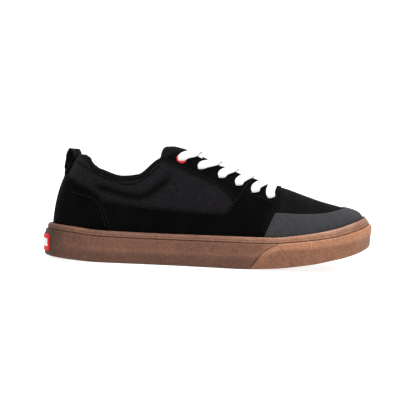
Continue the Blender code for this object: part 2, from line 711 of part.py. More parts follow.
def lace_solid(path, faces_up):
    """Flat plump band along a path, its flat side turned to the given normals."""
    path = resample(path, LACE_POINTS)
    along = unit_rows(np.gradient(path, axis=0))
    across = unit_rows(np.cross(along, resample(faces_up, LACE_POINTS)))
    up = np.cross(across, along)
    count = len(LACE_SECTION)
    points = []
    for centre, wide, high in zip(path, across, up):
        points += [centre + wide * LACE_WIDTH * a + high * LACE_THICKNESS * b for a, b in LACE_SECTION]
    faces = []
    for k in range(len(path) - 1):
        faces += ring_sides(k * count, (k + 1) * count, count)
    end = len(points) - count
    for i in range(1, count - 1):
        faces += [(0, i + 1, i), (end, end + i, end + i + 1)]
    return outward(np.array(points), faces)


def over_stay(station, side, setback, lift):
    """Lace point that rides over the sewn-on eyestay, and the way its flat side faces."""
    point, normal, _ = last_frame(side_place(station, side), setback)
    return point + normal * (GAP + OVERLAY + LACE_CLEAR + lift + LACE_THICKNESS / 2), normal


def over_tongue(station, across):
    """Lace point that rides over the tongue; across runs from the crown to a throat edge."""
    section = tongue_section(station)
    crown = len(section) // 2
    toward = section[crown + (1 if across > 0 else -1)]
    point = section[crown] + (toward - section[crown]) * abs(across)
    up = np.array((0.0, 0.0, 1.0))
    return point + up * (LACE_CLEAR + LACE_THICKNESS / 2 + GAP), up


def add_lace(stations):
    """Crossings over the tongue and the straight bar at the front."""
    white = material("white_lace", (0.85, 0.85, 0.85), 0.8)
    for k, (here, after) in enumerate(zip(stations, stations[1:])):
        ring = GAP + RING_HEIGHT if k == 0 else 0.0
        step = after - here
        edge = here + LACE_LEANS[k] * step
        strands = []
        for side in (-1, 1):
            route = []
            for share, advance in zip(LACE_SETBACKS, LACE_ADVANCES):
                setback = share * EYELET_SETBACKS[k]
                route.append(over_stay(here + advance * (edge - here), side, setback, ring * share))
            route.append(over_tongue(edge + LACE_CROWN_ADVANCE * step, 0.0))
            route.append(over_tongue(edge + LACE_END_ADVANCE * step, -LACE_END_ACROSS * side))
            strands.append(lace_solid(*zip(*route)))
        cross = add_object(f"lace_cross_{k + 1}", strands[0], white)
        combine(cross, add_cutter(f"lace_strand_{k + 1}", strands[1]), "UNION")
    front = stations[-1]
    climb = [share * EYELET_SETBACKS[-1] for share in LACE_SETBACKS]
    route = [over_stay(front, -1, setback, 0.0) for setback in climb]
    route.append(over_tongue(front, 0.0))
    route += [over_stay(front, 1, setback, 0.0) for setback in climb[::-1]]
    add_object("lace_bar", lace_solid(*zip(*route)), white)


def add_eyelet_rings(station):
    """Ring round the top lace hole on each side."""
    red = material("red_enamel", (0.85, 0.03, 0.03), 0.4)
    for name, side in (("eyelet_ring_lateral", -1), ("eyelet_ring_medial", 1)):
        centre, normal, _ = last_frame(side_place(station, side), EYELET_SETBACKS[0])
        seat = centre + normal * (GAP + OVERLAY + GAP)
        low = [ring_points(seat, normal, r, 0.0, RING_SIDES) for r in (EYELET_RADIUS, RING_RADIUS)]
        high = [ring + normal * RING_HEIGHT for ring in low]
        add_object(name, ring_loop(low + high[::-1]), red)


def add_pull_loop():
    """Webbing loop at the back of the collar."""
    path = np.array(LOOP_PATH)
    along = unit_rows(np.roll(path, -1, axis=0) - np.roll(path, 1, axis=0))
    normal = np.stack((along[:, 1], -along[:, 0]), axis=1)
    ys = np.linspace(-LOOP_WIDTH / 2, LOOP_WIDTH / 2, LOOP_COLUMNS)
    rings = []
    for face, order in ((0.5, ys), (-0.5, ys[::-1])):
        edge = path + normal * LOOP_THICKNESS * face
        for y in order:
            bend = y * y / (2 * LOOP_BEND_RADIUS)
            rings.append(np.column_stack((edge[:, 0] + bend, np.full(len(path), y), edge[:, 1])))
    add_object("pull_loop", ring_loop(rings), material("black_webbing", (0.006, 0.006, 0.006), 0.9))


def main():
    for old in list(bpy.data.objects):
        bpy.data.objects.remove(old)
    stations = eyelet_stations()
    add_sole()
    add_insole()
    add_upper(LastSurface(), eyelet_cutters(stations))
    add_tongue()
    add_eyelet_rings(stations[0])
    add_lace(stations)
    add_pull_loop()


main()
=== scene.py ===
"""Looks of a flat-pedal mountain bike shoe for the right foot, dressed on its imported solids.

+X points to the toe, -Y is the lateral side, +Z is up. Sizes are millimetres until a mesh is made.
"""
from math import cos, pi, radians, sin

import bmesh
import bpy
import numpy as np
from mathutils import Matrix, Vector


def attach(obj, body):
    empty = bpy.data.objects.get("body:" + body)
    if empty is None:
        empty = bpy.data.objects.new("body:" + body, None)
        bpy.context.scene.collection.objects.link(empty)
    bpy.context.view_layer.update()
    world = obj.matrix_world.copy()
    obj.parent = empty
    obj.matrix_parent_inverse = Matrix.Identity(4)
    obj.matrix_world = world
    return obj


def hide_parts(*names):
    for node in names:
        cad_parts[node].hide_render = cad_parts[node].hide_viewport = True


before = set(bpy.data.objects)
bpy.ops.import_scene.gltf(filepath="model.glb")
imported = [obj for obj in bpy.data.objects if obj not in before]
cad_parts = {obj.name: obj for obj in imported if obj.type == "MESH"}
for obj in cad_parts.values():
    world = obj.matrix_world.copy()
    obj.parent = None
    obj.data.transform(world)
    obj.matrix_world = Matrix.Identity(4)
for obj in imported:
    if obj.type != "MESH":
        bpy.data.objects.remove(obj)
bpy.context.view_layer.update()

MM = 0.001
BODY = "root"

# Clearances and walls, as in the solids
GAP = 0.3
WALL = 2.2
CUP_WALL = 6.3
LAST_INSET = 8.2

# Stations from the heel round to the toe: outline of the side band, edge of the collar and throat or
# ridge of the vamp, how a rib leaves the cup and reaches its top, collar padding, medial collar drop
STATION_COLUMNS = (
    "foot_x", "lateral", "medial", "top_x", "top_mid", "top_half", "top_z",
    "rise", "flare", "reach", "dip", "pad", "drop",
)
STATIONS = (
    (-147.0, 0.0, 0.0, -119.0, 0.0, 0.0, 92.6, 34, 0, 26, 55, 4.5, 0.0),
    (-142.4, 16.5, 16.5, -116.5, 0.0, 11.5, 91.8, 34, 0, 26, 57, 4.5, 1.2),
    (-128.4, 30.0, 30.0, -109.0, 0.0, 21.5, 87.2, 30, 0, 23, 66, 4.5, 2.6),
    (-104.0, 36.8, 36.3, -95.0, -0.2, 27.0, 78.5, 24, 0, 18, 80, 4.5, 2.8),
    (-76.0, 37.8, 35.5, -77.0, -1.2, 28.0, 73.2, 22, 0, 16, 84, 4.5, 1.6),
    (-48.0, 38.2, 34.0, -61.0, -1.8, 26.5, 75.6, 24, 0, 18, 78, 4.5, 0.5),
    (-20.0, 40.0, 35.0, -46.0, -1.8, 22.8, 89.6, 30, -2, 24, 66, 3.5, 0.0),
    (8.0, 43.8, 39.0, -28.0, -1.2, 17.5, 100.0, 34, -4, 26, 50, 0.8, 0.0),
    (34.0, 48.2, 45.0, 5.0, -0.6, 15.0, 89.4, 32, -3, 25, 42, 0.0, 0.0),
    (58.0, 52.2, 50.4, 36.0, 0.0, 12.5, 78.6, 30, 0, 26, 32, 0.0, 0.0),
    (78.0, 53.8, 53.2, 59.0, 0.6, 9.5, 72.0, 29, 3, 28, 18, 0.0, 0.0),
    (96.0, 51.6, 53.4, 67.0, 1.2, 0.0, 71.0, 28, 5, 29, 3, 0.0, 0.0),
    (113.0, 45.0, 48.6, 83.0, 1.8, 0.0, 65.8, 27, 5, 28, 4, 0.0, 0.0),
    (127.2, 36.0, 40.6, 97.0, 2.4, 0.0, 61.3, 26, 4, 26, 6, 0.0, 0.0),
    (138.4, 24.5, 30.0, 108.0, 2.9, 0.0, 58.5, 26.0, 2.8, 24, 8, 0.0, 0.0),
    (146.0, 11.3, 17.5, 115.0, 3.2, 0.0, 56.8, 25.2, 1.9, 22, 10, 0.0, 0.0),
    (149.6, -3.4, 3.4, 118.0, 3.4, 0.0, 56.2, 25.6, 1.8, 21, 12, 0.0, 0.0),
)
RIDGE_STATION = 11
TOE_STATION = len(STATIONS) - 1
LOOP = 2 * TOE_STATION
PAD_SHARES = (0.5, 0.9)
BOTH_SIDES = ((-1, "lateral"), (1, "medial"))

# Small ears of the collar near the heel: station, reach along stations, lateral and medial height
COLLAR_EARS = ((1.62, 0.34, 1.9, 0.3), (2.05, 0.24, 2.0, -0.8), (2.55, 0.30, -1.5, -1.4))

# Heights along the sole: tread, cup floor, step under the strip, rim; tuck of the band's foot
SOLE_COLUMNS = ("x", "bottom", "floor", "step", "rim", "tuck")
SOLE_PROFILE = (
    (-148, 3.4, 16.0, 26.7, 32.2, 0.3),
    (-120, 1.4, 14.6, 24.8, 30.3, -0.3),
    (-92, 0.0, 13.5, 22.4, 27.8, 0.0),
    (-40, 0.0, 12.5, 22.0, 27.2, 0.0),
    (22, 0.0, 10.5, 22.4, 27.8, 0.0),
    (55, 1.6, 11.2, 23.1, 28.3, 0.3),
    (80, 4.9, 13.8, 25.8, 31.4, 0.8),
    (105, 9.3, 18.0, 29.4, 36.1, 1.4),
    (128, 14.6, 23.0, 34.8, 42.5, 1.6),
    (148, 21.3, 29.5, 41.5, 50.0, 1.4),
)

# Side band: rows as (share of its height, rounding of its foot and top), then its soft ridge as (x,
# share of the height, hollow below it), how far below the ridge the hollow is full, how far the band
# leans in above it, and how far and where along the shoe it is drawn in round the heel
BAND_ROWS = (
    (0.0, 2.2), (0.0, 1.1), (0.02, 0.5), (0.06, 0.16), (0.12, 0.0), (0.18, 0.0), (0.24, 0.0), (0.30, 0.0),
    (0.36, 0.0), (0.41, 0.0), (0.46, 0.0), (0.51, 0.0), (0.56, 0.0), (0.61, 0.0), (0.66, 0.0), (0.71, 0.0),
    (0.76, 0.0), (0.81, 0.0), (0.86, 0.02), (0.91, 0.08), (0.955, 0.26), (0.985, 0.6), (1.0, 1.05),
    (1.0, 2.0),
)
RIDGE = (
    (-150, 0.49, 0.4), (-110, 0.49, 1.0), (42, 0.49, 1.05), (62, 0.80, 0.9), (111, 0.72, 0.8),
    (130, 0.68, 0.6), (150, 0.66, 0.45),
)
RIDGE_REACH = 0.17
RIDGE_LEAN = 0.9
HEEL_DRAW = 0.4
HEEL_DRAW_RUN = (-132, -147)
BAND_DEPTH = 5.0
BUMPER_DEPTH = 2.4

# Bumper's seam: rounding of its edges, half its gap in stations, length of a station there, its line as
# (x, z), and the stations between which it lies
SEAM_ROUND = 0.35
SEAM_GAP = 0.012
STATION_RUN = 18.0
BUMPER_SEAM = (
    (64.5, 29.5), (61.8, 24.5), (58.8, 21.6), (53.4, 19.2), (48.1, 15.1), (44.0, 10.1), (40.9, 5.6),
    (37.3, 1.1), (34.5, -4.0),
)
SEAM_STATIONS = (6.5, 10.5)

# Painted light and shade on the band's rubber, as (rear, toe): above its ridge, below it and at its foot;
# the painted highlight over the rear ridge as (shade, share, width); where the painted shade turns at the
# ridge; where along the shoe the toe's values and the whole painted shading take over; and the tread's
# painted shade, darker underneath
SHADE_ABOVE = (1.12, 1.28)
SHADE_BELOW = (0.90, 0.80)
SHADE_FOOT = (0.80, 0.73)
SHADE_LINE = (0.16, 0.07, 0.08)
SHADE_TURN = (-0.13, 0.03)
SHADE_TOE_RUN = (45, 62)
SHADE_HEEL_RUN = (-145, -85)
TREAD_SHADE = 0.85

# Foxing strip with its two fine grooves, as (share of its height, inset)
STRIP_PROFILE = (
    (0.0, CUP_WALL), (0.0, 4.1), (0.02, 3.6), (0.06, 3.2), (0.12, 3.02), (0.32, 3.0), (0.355, 3.15),
    (0.385, 3.55), (0.435, 3.6), (0.47, 3.25), (0.52, 3.05), (0.60, 3.1), (0.635, 3.2), (0.66, 3.55),
    (0.70, 3.6), (0.735, 3.45), (0.78, 3.55), (0.86, 4.0), (0.93, 4.6), (0.98, 5.3), (1.0, 5.9),
    (0.99, CUP_WALL),
)

# Slant of the strip round the toe: how far its top is drawn in, where along the shoe that grows, from
# which share of its height it starts, and how far in the strip reaches at most
STRIP_SLANT = 3.2
STRIP_SLANT_RUN = (112.0, 147.0)
STRIP_SLANT_FOOT = 0.2
STRIP_REACH = 7.2

# Tread: inset of its edge, gap at its ends and depth; grooves, where along the sole, how wide, deep and
# soft, and how far from the outline they stop; fine ripples between them
TREAD_INSET = 2.6
TREAD_END = 0.4
TREAD_DEPTH = 6.0
GROOVES = (-122, -107, -92, -77, 14, 29, 44, 59, 74, 89, 104, 119)
GROOVE_WIDTH = 3.2
GROOVE_DEPTH = 2.0
GROOVE_SOFT = (-0.5, 0.3)
GROOVE_MARGIN = 11.0
GROOVE_FADE = (2.2, 1.0)
RIPPLE_PITCH = 5.0
RIPPLE_DEPTH = 0.35
RIPPLE_SOFT = (0.55, 0.95)
RIPPLE_SWEEP = 0.35

# Heel tag on the band, with a plain raised block set a little into it; how square the corners are, and
# the share of a half width that the rounded edge takes
TAG_RUN = 1.36
TAG_SHARES = (0.16, 0.82)
BLOCK_RUN = 1.2
BLOCK_SHARES = (0.33, 0.65)
TAG_THICKNESS = 0.6
BLOCK_THICKNESS = 0.3
BLOCK_SINK = 0.2
TAG_CORNER = 9.0
TAG_EDGE = 0.14

# Footbed: gap to the upper, ends of its spine, rings as (share of the way to the spine, height), and how
# much higher its edge is at the heel and where along the shoe that ends
INSOLE_GAP = 0.9
INSOLE_SPINE = (-112, 112)
INSOLE_RINGS = (
    (0.0, 0.4), (0.0, 3.2), (0.012, 4.0), (0.04, 4.4), (0.09, 4.25), (0.18, 3.95), (0.35, 3.8),
    (0.6, 3.8), (1.0, 3.9),
)
INSOLE_HEEL = 0.5
INSOLE_HEEL_RUN = (-90, -20)

# Upper: share at its foot, station of the seam between canvas and suede, and step beside the ridge
UPPER_FOOT = 0.02
VAMP_STATION = 9
RIDGE_STEP = 0.02

# Edges of the sewn-on pieces seen from the side, as (x, z) along smooth curves
COUNTER_FRONT = (
    (-81.0, 25.0), (-82.4, 28.5), (-86.8, 39.7), (-90.9, 50.0), (-92.2, 53.6), (-94.2, 57.4),
    (-98.2, 61.5), (-104.4, 64.9), (-112, 68.4), (-119, 71.9),
)
COUNTER_BACK = ((-140.0, 80.0), (-133.0, 78.0), (-127.0, 75.6), (-119.0, 71.9), (-112.0, 68.4))
PANEL_TOP = (
    (-94.3, 55.0), (-85.6, 53.9), (-76, 52.8), (-67, 51.8), (-50, 50.3), (-24, 49.0), (-7, 48.1),
    (8, 47.7), (14.5, 48.6), (18.0, 51.2), (21.2, 56.0), (25.6, 63.0), (33.0, 73.7), (36.0, 79.0),
    (38.4, 83.4),
)
PANEL_BACK = ((-94.3, 55.0), (-93.0, 50.5), (-88.8, 39.7), (-84.6, 28.5), (-83.2, 25.0))
PANEL_FRONT = (
    (48.8, 25.0), (50.2, 29.5), (53.7, 38.2), (57.2, 46.2), (60.5, 52.0), (63.0, 56.5), (64.2, 60.5),
    (64.3, 65.5), (63.7, 69.5), (62.8, 73.5),
)
STAY_LOW = (
    (-42.5, 91.0), (-31, 86.1), (-11.6, 78.1), (2.6, 72.2), (9.0, 68.8), (14.5, 65.0), (18.2, 61.3),
    (21.3, 56.5),
)
STAY_FRONT = ((21.3, 56.5), (28.0, 63.0), (35.1, 74.0), (39.5, 82.0))
GUARD_BACK = ((47.8, 25.0), (49.1, 29.5), (52.6, 38.2), (56.0, 46.0), (58.0, 49.4))
GUARD_TOP = (
    (58.0, 49.4), (66.8, 49.3), (72.9, 49.1), (80.3, 49.0), (88.9, 49.3), (96.5, 49.8), (103.2, 50.4),
)
GUARD_RIDGE = (
    (96.5, 49.8), (103.2, 50.4), (110.5, 51.8), (117.7, 53.6), (121.3, 54.5), (124.0, 55.3), (126.0, 56.4),
    (128.0, 61.0),
)
FOOT_SHARE = 0.10

# Points over which the counter's front edge blends into its back edge
COUNTER_BLEND = 6

# Stations where the guard's columns change their spacing, from where both its sides are even, and the
# share from which its top lies on the ridge
GUARD_STATIONS = (11.0, 14.5)
GUARD_EVEN = 14.0
GUARD_RIDGE_SHARE = 0.9995

# Stitch rows that follow no edge, and distances of the other rows from their edges
COUNTER_ROW = (
    (-88.0, 29.5), (-94.0, 46.5), (-96.5, 51.8), (-101.5, 55.6), (-109.8, 57.8), (-121, 60.4),
)
PANEL_ROW = ((30.7, 67.2), (40.5, 63.3), (49.3, 60.2), (59.0, 56.3))
COUNTER_INSET = -1.7
STAY_INSETS = (1.5, 3.3)
PANEL_TOP_INSET = -1.6
PANEL_FRONT_INSETS = (1.7, 4.0)

# How far each sewn-on piece stands off the upper, how round its edge is, rows near an edge and between
# its edges, the lift of its back, the share above its foot where its low edge shows, the largest mark of
# a point, and the mark of pieces without cut edges
LIFTS = {"heel_counter": 1.1, "side_panel": 1.65, "eyestay": 1.15, "toe_guard": 1.1}
EDGE_ROUND = 0.7
EDGE_FOOT = 0.12
EDGE_ROWS = (0.0, 0.07, 0.2, 0.42, 0.75, 1.2)
MIDDLE_ROWS = 34
BACK_LIFT = 0.04
FOOT_SHOWN = 0.004
RIM_LIMIT = 50.0
FAR_FROM_EDGE = 9.0

# Creases seen from the side: depth, half width and line; the first is under the collar padding
CREASES = (
    (2.4, 2.9, (
        (-106, 67.5), (-94, 65.3), (-86, 63.2), (-77, 60.9), (-68, 58.7), (-60, 58.4), (-54, 60.6),
        (-48, 64.5), (-42.5, 68.7), (-35, 75.2), (-29, 80.0),
    )),
    (-0.7, 6.0, (
        (-108, 76.0), (-94, 71.5), (-86, 68.4), (-77, 65.9), (-68, 63.8), (-59, 64.4), (-51, 69.5),
        (-43, 77.5),
    )),
    (0.35, 4.0, ((-22, 62.0), (-12, 56.0), (0, 52.5))),
    (-0.45, 9.0, ((-40, 55.0), (-20, 56.0), (2, 60.0))),
    (0.3, 3.2, ((70, 66.0), (73, 60.0), (76, 54.0))),
    (0.22, 3.0, ((80, 63.0), (83, 57.0), (86, 52.0))),
)
CREASE_FADE = 14.0
# Half width of the painted shade in the trough of the first crease
CREASE_SHADE = 3.6

# Fine seam that follows the collar edge, drawn as a black welt that also stands in for the shade in its
# groove; half its thickness and how deep its middle lies
COLLAR_SEAM = (
    (-119.5, 88.3), (-114.6, 85.7), (-102.6, 78.8), (-91.6, 73.7), (-81.5, 70.9), (-71.7, 68.4),
    (-60.4, 71.7), (-52.1, 78.6), (-43.8, 86.2),
)
COLLAR_SEAM_HALF = 0.5
COLLAR_SEAM_SINK = 0.1

# Collar lining rolled over the edge: stations and how far its seam lies below the edge, rows from there
# to the edge, how far it swells and tucks in at the seam, and how it sinks away at the throat
LINING_SEAM = ((0, 0.4), (2.2, 0.4), (2.7, 1.5), (4, 1.7), (5, 2.1), (6, 2.7), (7, 2.6), (7.9, 1.4))
LINING_OVER_STAY = 0.3
LINING_END = 7.9
LINING_SHOWN = 7.1
LINING_FADE = (-0.3, 0.4)
LINING_SINK = 0.7
LINING_FLAT = 0.8
LINING_ROWS = (0.0, 0.03, 0.12, 0.3, 0.55, 0.8, 1.0)
LINING_PUFF = 0.25
LINING_PUFF_RUN = 0.3
LINING_TUCK = 0.25
LINING_TURNS = 12
LINING_HEAD = 0.97
LINING_FOOT = 0.14
LINING_THICKNESS = 0.35

# Lace holes, the heights between which they are cut, and rings as (radius, height) beside their crown
EYELET_SETBACKS = (9.0, 11.2, 12.3, 14.5, 18.0, 21.5)
EYELET_X = (-25.2, -8.2, 10.2, 25.5, 40.0, 53.9)
EYELET_STATIONS = (6.0, RIDGE_STATION - 0.2)
EYELET_RADIUS = 2.5
HOLE_HEIGHTS = (-6.0, 5.0)
HOLE_SIDES = 20
RING_RADIUS = 4.6
RING_HEIGHT = 0.9
RING_SHOULDER = 0.45
RING_INNER = ((EYELET_RADIUS, -1.2), (EYELET_RADIUS, RING_SHOULDER))
RING_OUTER = ((RING_RADIUS, 0.3), (RING_RADIUS, 0.0), (RING_RADIUS - 0.6, -0.1))
RING_SIDES = 48

# Lace: a flat band with rounded edges. From inside its hole a strand folds over the lower edge, at these
# setbacks, shares of the ring's height and of half the lace, and lifts. It climbs to the throat edge
# through these shares of the hole's setback and of its lean, a share of the way to the next hole. Then it
# passes the tongue, at (across, clearance, share of the upper strand's lift), and tucks under the far
# edge, at (share of the way, setback, depth).
LACE_WIDTH = 7.9
LACE_TIP_WIDTH = 4.7
LACE_THICKNESS = 1.8
LACE_SPREAD = (2.6, 7.4)
LACE_STEPS = 90
LACE_SIDES = 28
LACE_ROUND = (0.6, 0.8)
LACE_INSIDE = -3.2
LACE_AIM = 3.0
LACE_FACING = (0.2, 0.35, 1.0)
LACE_FOLD = ((1.2, 0.0, 0.0, 0.2), (2.4, 1.0, 0.5, 0.0), (0.8, 1.0, 1.0, 0.45))
LACE_CLIMB = ((0.78, 0.14), (0.52, 0.42), (0.24, 0.74), (0.0, 1.0))
LACE_LEANS = (0.68, 0.68, 0.66, 0.70, 0.95)
LACE_CROWNS = (0.86, 0.86, 0.86, 0.90, 1.04)
LACE_FARS = (0.96, 0.96, 0.96, 0.98, 1.08)
LACE_REST = 0.25
LACE_ON_RING = 0.6
LACE_UPPER_LIFT = 0.9
LACE_OVER = ((0.55, 0.9, 0.6), (0.0, 0.5, 1.0), (-0.45, 0.3, 0.4), (-0.85, -0.3, 0.0))
LACE_TUCK = ((0.99, 2.5, 1.2), (1.0, 8.0, 1.8))
LACE_RING_SHARE = 0.8
STAY_HOLES = 4
FRONT_LEAN = 0.30
FRONT_CLEAR = 0.9
FRONT_ACROSS = (-0.5, 0.0, 0.5)

# Tongue sections: station, thickness, fullness of the arch across the throat
TONGUE_SECTIONS = (
    (6.5, 6.5, 0.51), (7.0, 6.0, 0.33), (7.5, 5.0, 0.29), (8.2, 4.5, 0.27), (9.0, 4.0, 0.29),
    (9.8, 3.6, 0.30), (10.5, 3.2, 0.31),
)
TONGUE_OVERLAP = (9.0, 4.5, 0.0)
TONGUE_ARCH = (0.25, 0.5, 0.75)
TONGUE_CLEAR = 0.5

# Tongue's rounded end, as reach and drop with their powers; its front end under the vamp, as a move and
# a thickness; roundness of its sides; channels as (depth, place across, width)
TONGUE_NOSE = (7.2, 8.8)
TONGUE_NOSE_POWERS = (0.8, 1.2)
TONGUE_NOSE_THIN = 0.04
TONGUE_FRONT = (9.0, 0.0, -4.6)
TONGUE_FRONT_THICKNESS = 3.2
TONGUE_FRONT_STEPS = (0.33, 0.66, 1.0)
TONGUE_ROUND = 6
TONGUE_CHANNEL = (0.55, 0.62, 0.05)

# Pull loop: webbing centre line in the middle plane as (x, z), bent round the heel
LOOP_PATH = (
    (-129.4, 79.5), (-130.5, 84.0), (-130.7, 89.0), (-130.1, 93.9), (-126.9, 98.2), (-123.7, 96.4),
    (-122.4, 92.8), (-122.8, 89.8), (-124.5, 86.4), (-127.0, 82.2),
)
LOOP_WIDTH = 20.0
LOOP_THICKNESS = 1.3
LOOP_BEND_RADIUS = 34.0

# Edge of the webbing, as (distance from its side, share of its thickness), from one face round
LOOP_EDGE = ((0.35, 0.5), (0.08, 0.32), (0.0, 0.0), (0.08, -0.32))

# Turn of the loop above its sewn-down foot: heights between which it grows, angle, how much narrower
# the loop gets and how far it leans forward
LOOP_TURN_HEIGHTS = (81.0, 91.0)
LOOP_TURN = 15.0
LOOP_NARROW = 0.78
LOOP_MIDDLE = -126.0
LOOP_LEAN = 2.5

# Sewn-down foot of the loop on the heel: its places, heights and how far it stands off, and the share
# of that at its sides
LOOP_FOOT_RUN = 0.8
LOOP_FOOT_HEIGHTS = (73.5, 84.0)
LOOP_FOOT_LIFTS = (1.1, 2.9)
LOOP_FOOT_SIDE = 0.6
LOOP_FOOT_BACK = 0.05

# Stitches: length, radius and pitch along a row; form as (share of the length, share of the radius);
# lift of a row, arch and depth of a stitch; how far below the strip's rim the rows go on
STITCH_LENGTH = 1.7
STITCH_RADIUS = 0.26
STITCH_PITCH = 3.0
STITCH_SIDES = 6
STITCH_FORM = ((-0.5, 0.05), (-0.42, 0.7), (-0.2, 1.0), (0.2, 1.0), (0.42, 0.7), (0.5, 0.05))
STITCH_LIFT = 0.06
STITCH_ARCH = 0.6
STITCH_DEPTH = 0.1
STITCH_BELOW = 1.0

# Floor sweep in metres: front, start of its curve, radius, top and half width
SWEEP_FRONT = -3.0
SWEEP_START = 1.2
SWEEP_RADIUS = 1.0
SWEEP_TOP = 4.0
SWEEP_HALF = 4.0
SWEEP_STEPS = 16

# Light of the world, then area lights as (name, place, aim, size, power)
WORLD_LIGHT = 0.33
LIGHTS = (
    ("top", (0.05, -0.25, 1.1), (0.0, 0.0, 0.05), 0.8, 8.5),
    ("key", (0.75, -1.1, 0.75), (0.03, 0.0, 0.05), 0.8, 5.0),
    ("fill", (-0.8, -1.0, 0.45), (-0.05, 0.0, 0.05), 0.7, 1.4),
    ("sweep_light", (0.0, 0.6, 1.8), (0.0, 2.0, 0.3), 1.6, 40.0),
)

# Camera: aim and distance in metres, angles in degrees, lens and sensor in millimetres
CAMERA_AIM = (0.0, 0.0, 0.050)
CAMERA_DISTANCE = 0.9
CAMERA_ELEVATION = 2.0
CAMERA_ROLL = 2.35
CAMERA_LENS = 86.06
CAMERA_SENSOR = 36.0
CAMERA_CLIP = 20.0


def monotone(xs, ys, x, end_slopes=True):
    """Monotone cubic through a table's points; without end slopes it leaves both ends level."""
    xs = np.asarray(xs, float)
    ys = np.asarray(ys, float)
    steps = np.diff(xs)
    slopes = np.diff(ys) / steps
    tangents = np.zeros(len(xs))
    product = slopes[:-1] * slopes[1:]
    total = np.where(product > 0, slopes[:-1] + slopes[1:], 1.0)
    tangents[1:-1] = np.where(product > 0, 2 * product / total, 0.0)
    if end_slopes:
        tangents[0] = slopes[0]
        tangents[-1] = slopes[-1]
    x = np.clip(np.asarray(x, float), xs[0], xs[-1])
    i = np.clip(np.searchsorted(xs, x, side="right") - 1, 0, len(steps) - 1)
    f = (x - xs[i]) / steps[i]
    return (
        ys[i] * (1 + 2 * f) * (1 - f) ** 2
        + ys[i + 1] * f * f * (3 - 2 * f)
        + tangents[i] * steps[i] * f * (1 - f) ** 2
        - tangents[i + 1] * steps[i] * f * f * (1 - f)
    )


def closed_spline(points, place):
    """Cubic B-spline through a closed ring of points, read at places counted in points."""
    count = len(points)
    unit = np.eye(count)
    mix = (4 * unit + np.roll(unit, 1, axis=0) + np.roll(unit, -1, axis=0)) / 6
    hull = np.linalg.solve(mix, np.asarray(points, float))
    i = np.floor(place).astype(int)
    f = (place - i)[:, None]
    weights = ((1 - f) ** 3, 3 * f**3 - 6 * f**2 + 4, -3 * f**3 + 3 * f**2 + 3 * f + 1, f**3)
    return sum(w / 6 * hull[(i + k - 1) % count] for k, w in enumerate(weights))


def smooth_path(points, count):
    """Rounded open curve through points, read at even distances along it."""
    points = np.asarray(points, float)
    padded = np.vstack((2 * points[0] - points[1], points, 2 * points[-1] - points[-2]))
    pieces = []
    for k in range(len(points) - 1):
        a, b, c, d = padded[k : k + 4]
        f = np.linspace(0, 1, 24, endpoint=False)[:, None]
        second = 2 * a - 5 * b + 4 * c - d
        third = 3 * b - a - 3 * c + d
        pieces.append(0.5 * (2 * b + (c - a) * f + second * f**2 + third * f**3))
    dense = np.vstack((*pieces, points[-1:]))
    run = length_along(dense)
    return read_rows(np.linspace(0, run[-1], count), run, dense)


def read_rows(at, run, rows):
    """Rows read at distances, from rows with their own distances along a run."""
    return np.column_stack([np.interp(at, run, axis) for axis in rows.T])


def length_along(points):
    """Distance of each point along a polyline."""
    return np.concatenate(([0.0], np.cumsum(np.linalg.norm(np.diff(points, axis=0), axis=1))))


def unit_rows(vectors):
    """Each row at length one."""
    return vectors / np.maximum(np.linalg.norm(vectors, axis=-1, keepdims=True), 1e-12)


def smooth_step(low, high, value):
    """Soft switch from 0 at low to 1 at high."""
    f = np.clip((value - low) / (high - low), 0, 1)
    return f * f * (3 - 2 * f)


def station_column(name, station):
    """A column of the station table, read at station numbers."""
    values = [row[STATION_COLUMNS.index(name)] for row in STATIONS]
    return monotone(range(len(STATIONS)), values, station, end_slopes=name == "top_half")


def sole_height(name, x):
    """A column of the sole table at lengthwise positions."""
    xs = [row[0] for row in SOLE_PROFILE]
    return monotone(xs, [row[SOLE_COLUMNS.index(name)] for row in SOLE_PROFILE], x)


def fold(place):
    """Station number and side (-1 lateral, 1 medial) of places round the whole loop."""
    place = np.asarray(place, float) % LOOP
    lateral = place <= TOE_STATION
    return np.where(lateral, place, LOOP - place), np.where(lateral, -1.0, 1.0)


def placed(station, side):
    """Place round the loop of a station on one side."""
    return station if side < 0 else LOOP - station


def outline(place, inset):
    """Points of the sole outline moved in by inset, and the outward normals there."""
    ring = [(row[0], -row[1]) for row in STATIONS] + [(row[0], row[2]) for row in STATIONS[-2:0:-1]]
    place = np.asarray(place, float)
    step = 0.01
    along = closed_spline(ring, place + step) - closed_spline(ring, place - step)
    normal = unit_rows(np.stack((along[:, 1], -along[:, 0]), axis=1))
    inset = np.broadcast_to(inset, place.shape)
    return closed_spline(ring, place) - normal * inset[:, None], normal


def cubic(hull, f):
    """Cubic curve on four hull points."""
    a, b, c, d = hull
    return a * (1 - f) ** 3 + b * 3 * f * (1 - f) ** 2 + c * 3 * f * f * (1 - f) + d * f**3


def last_at(place, share):
    """Outer surface of the upper at pairs of place and share of the rib."""
    station, side = fold(place)
    col = {name: station_column(name, station) for name in STATION_COLUMNS[3:]}
    foot, normal = outline(place, LAST_INSET)
    start = np.column_stack((foot, sole_height("floor", foot[:, 0]) + GAP))
    top_z = col["top_z"] - np.where(side > 0, col["drop"], 0.0)
    for middle, reach, lateral, medial in COLLAR_EARS:
        swell = np.exp(-(((station - middle) / reach) ** 2))
        top_z = top_z + np.where(side < 0, lateral, medial) * swell
    end = np.column_stack((col["top_x"], col["top_mid"] + side * col["top_half"], top_z))
    flare = np.radians(col["flare"])
    dip = np.radians(col["dip"])
    leave = np.column_stack((normal * np.sin(flare)[:, None], np.cos(flare)))
    arrive = np.column_stack((normal * np.cos(dip)[:, None], -np.sin(dip)))
    lower = start + leave * col["rise"][:, None]
    upper = end + arrive * col["reach"][:, None]
    return cubic((start, lower, upper, end), share[:, None])


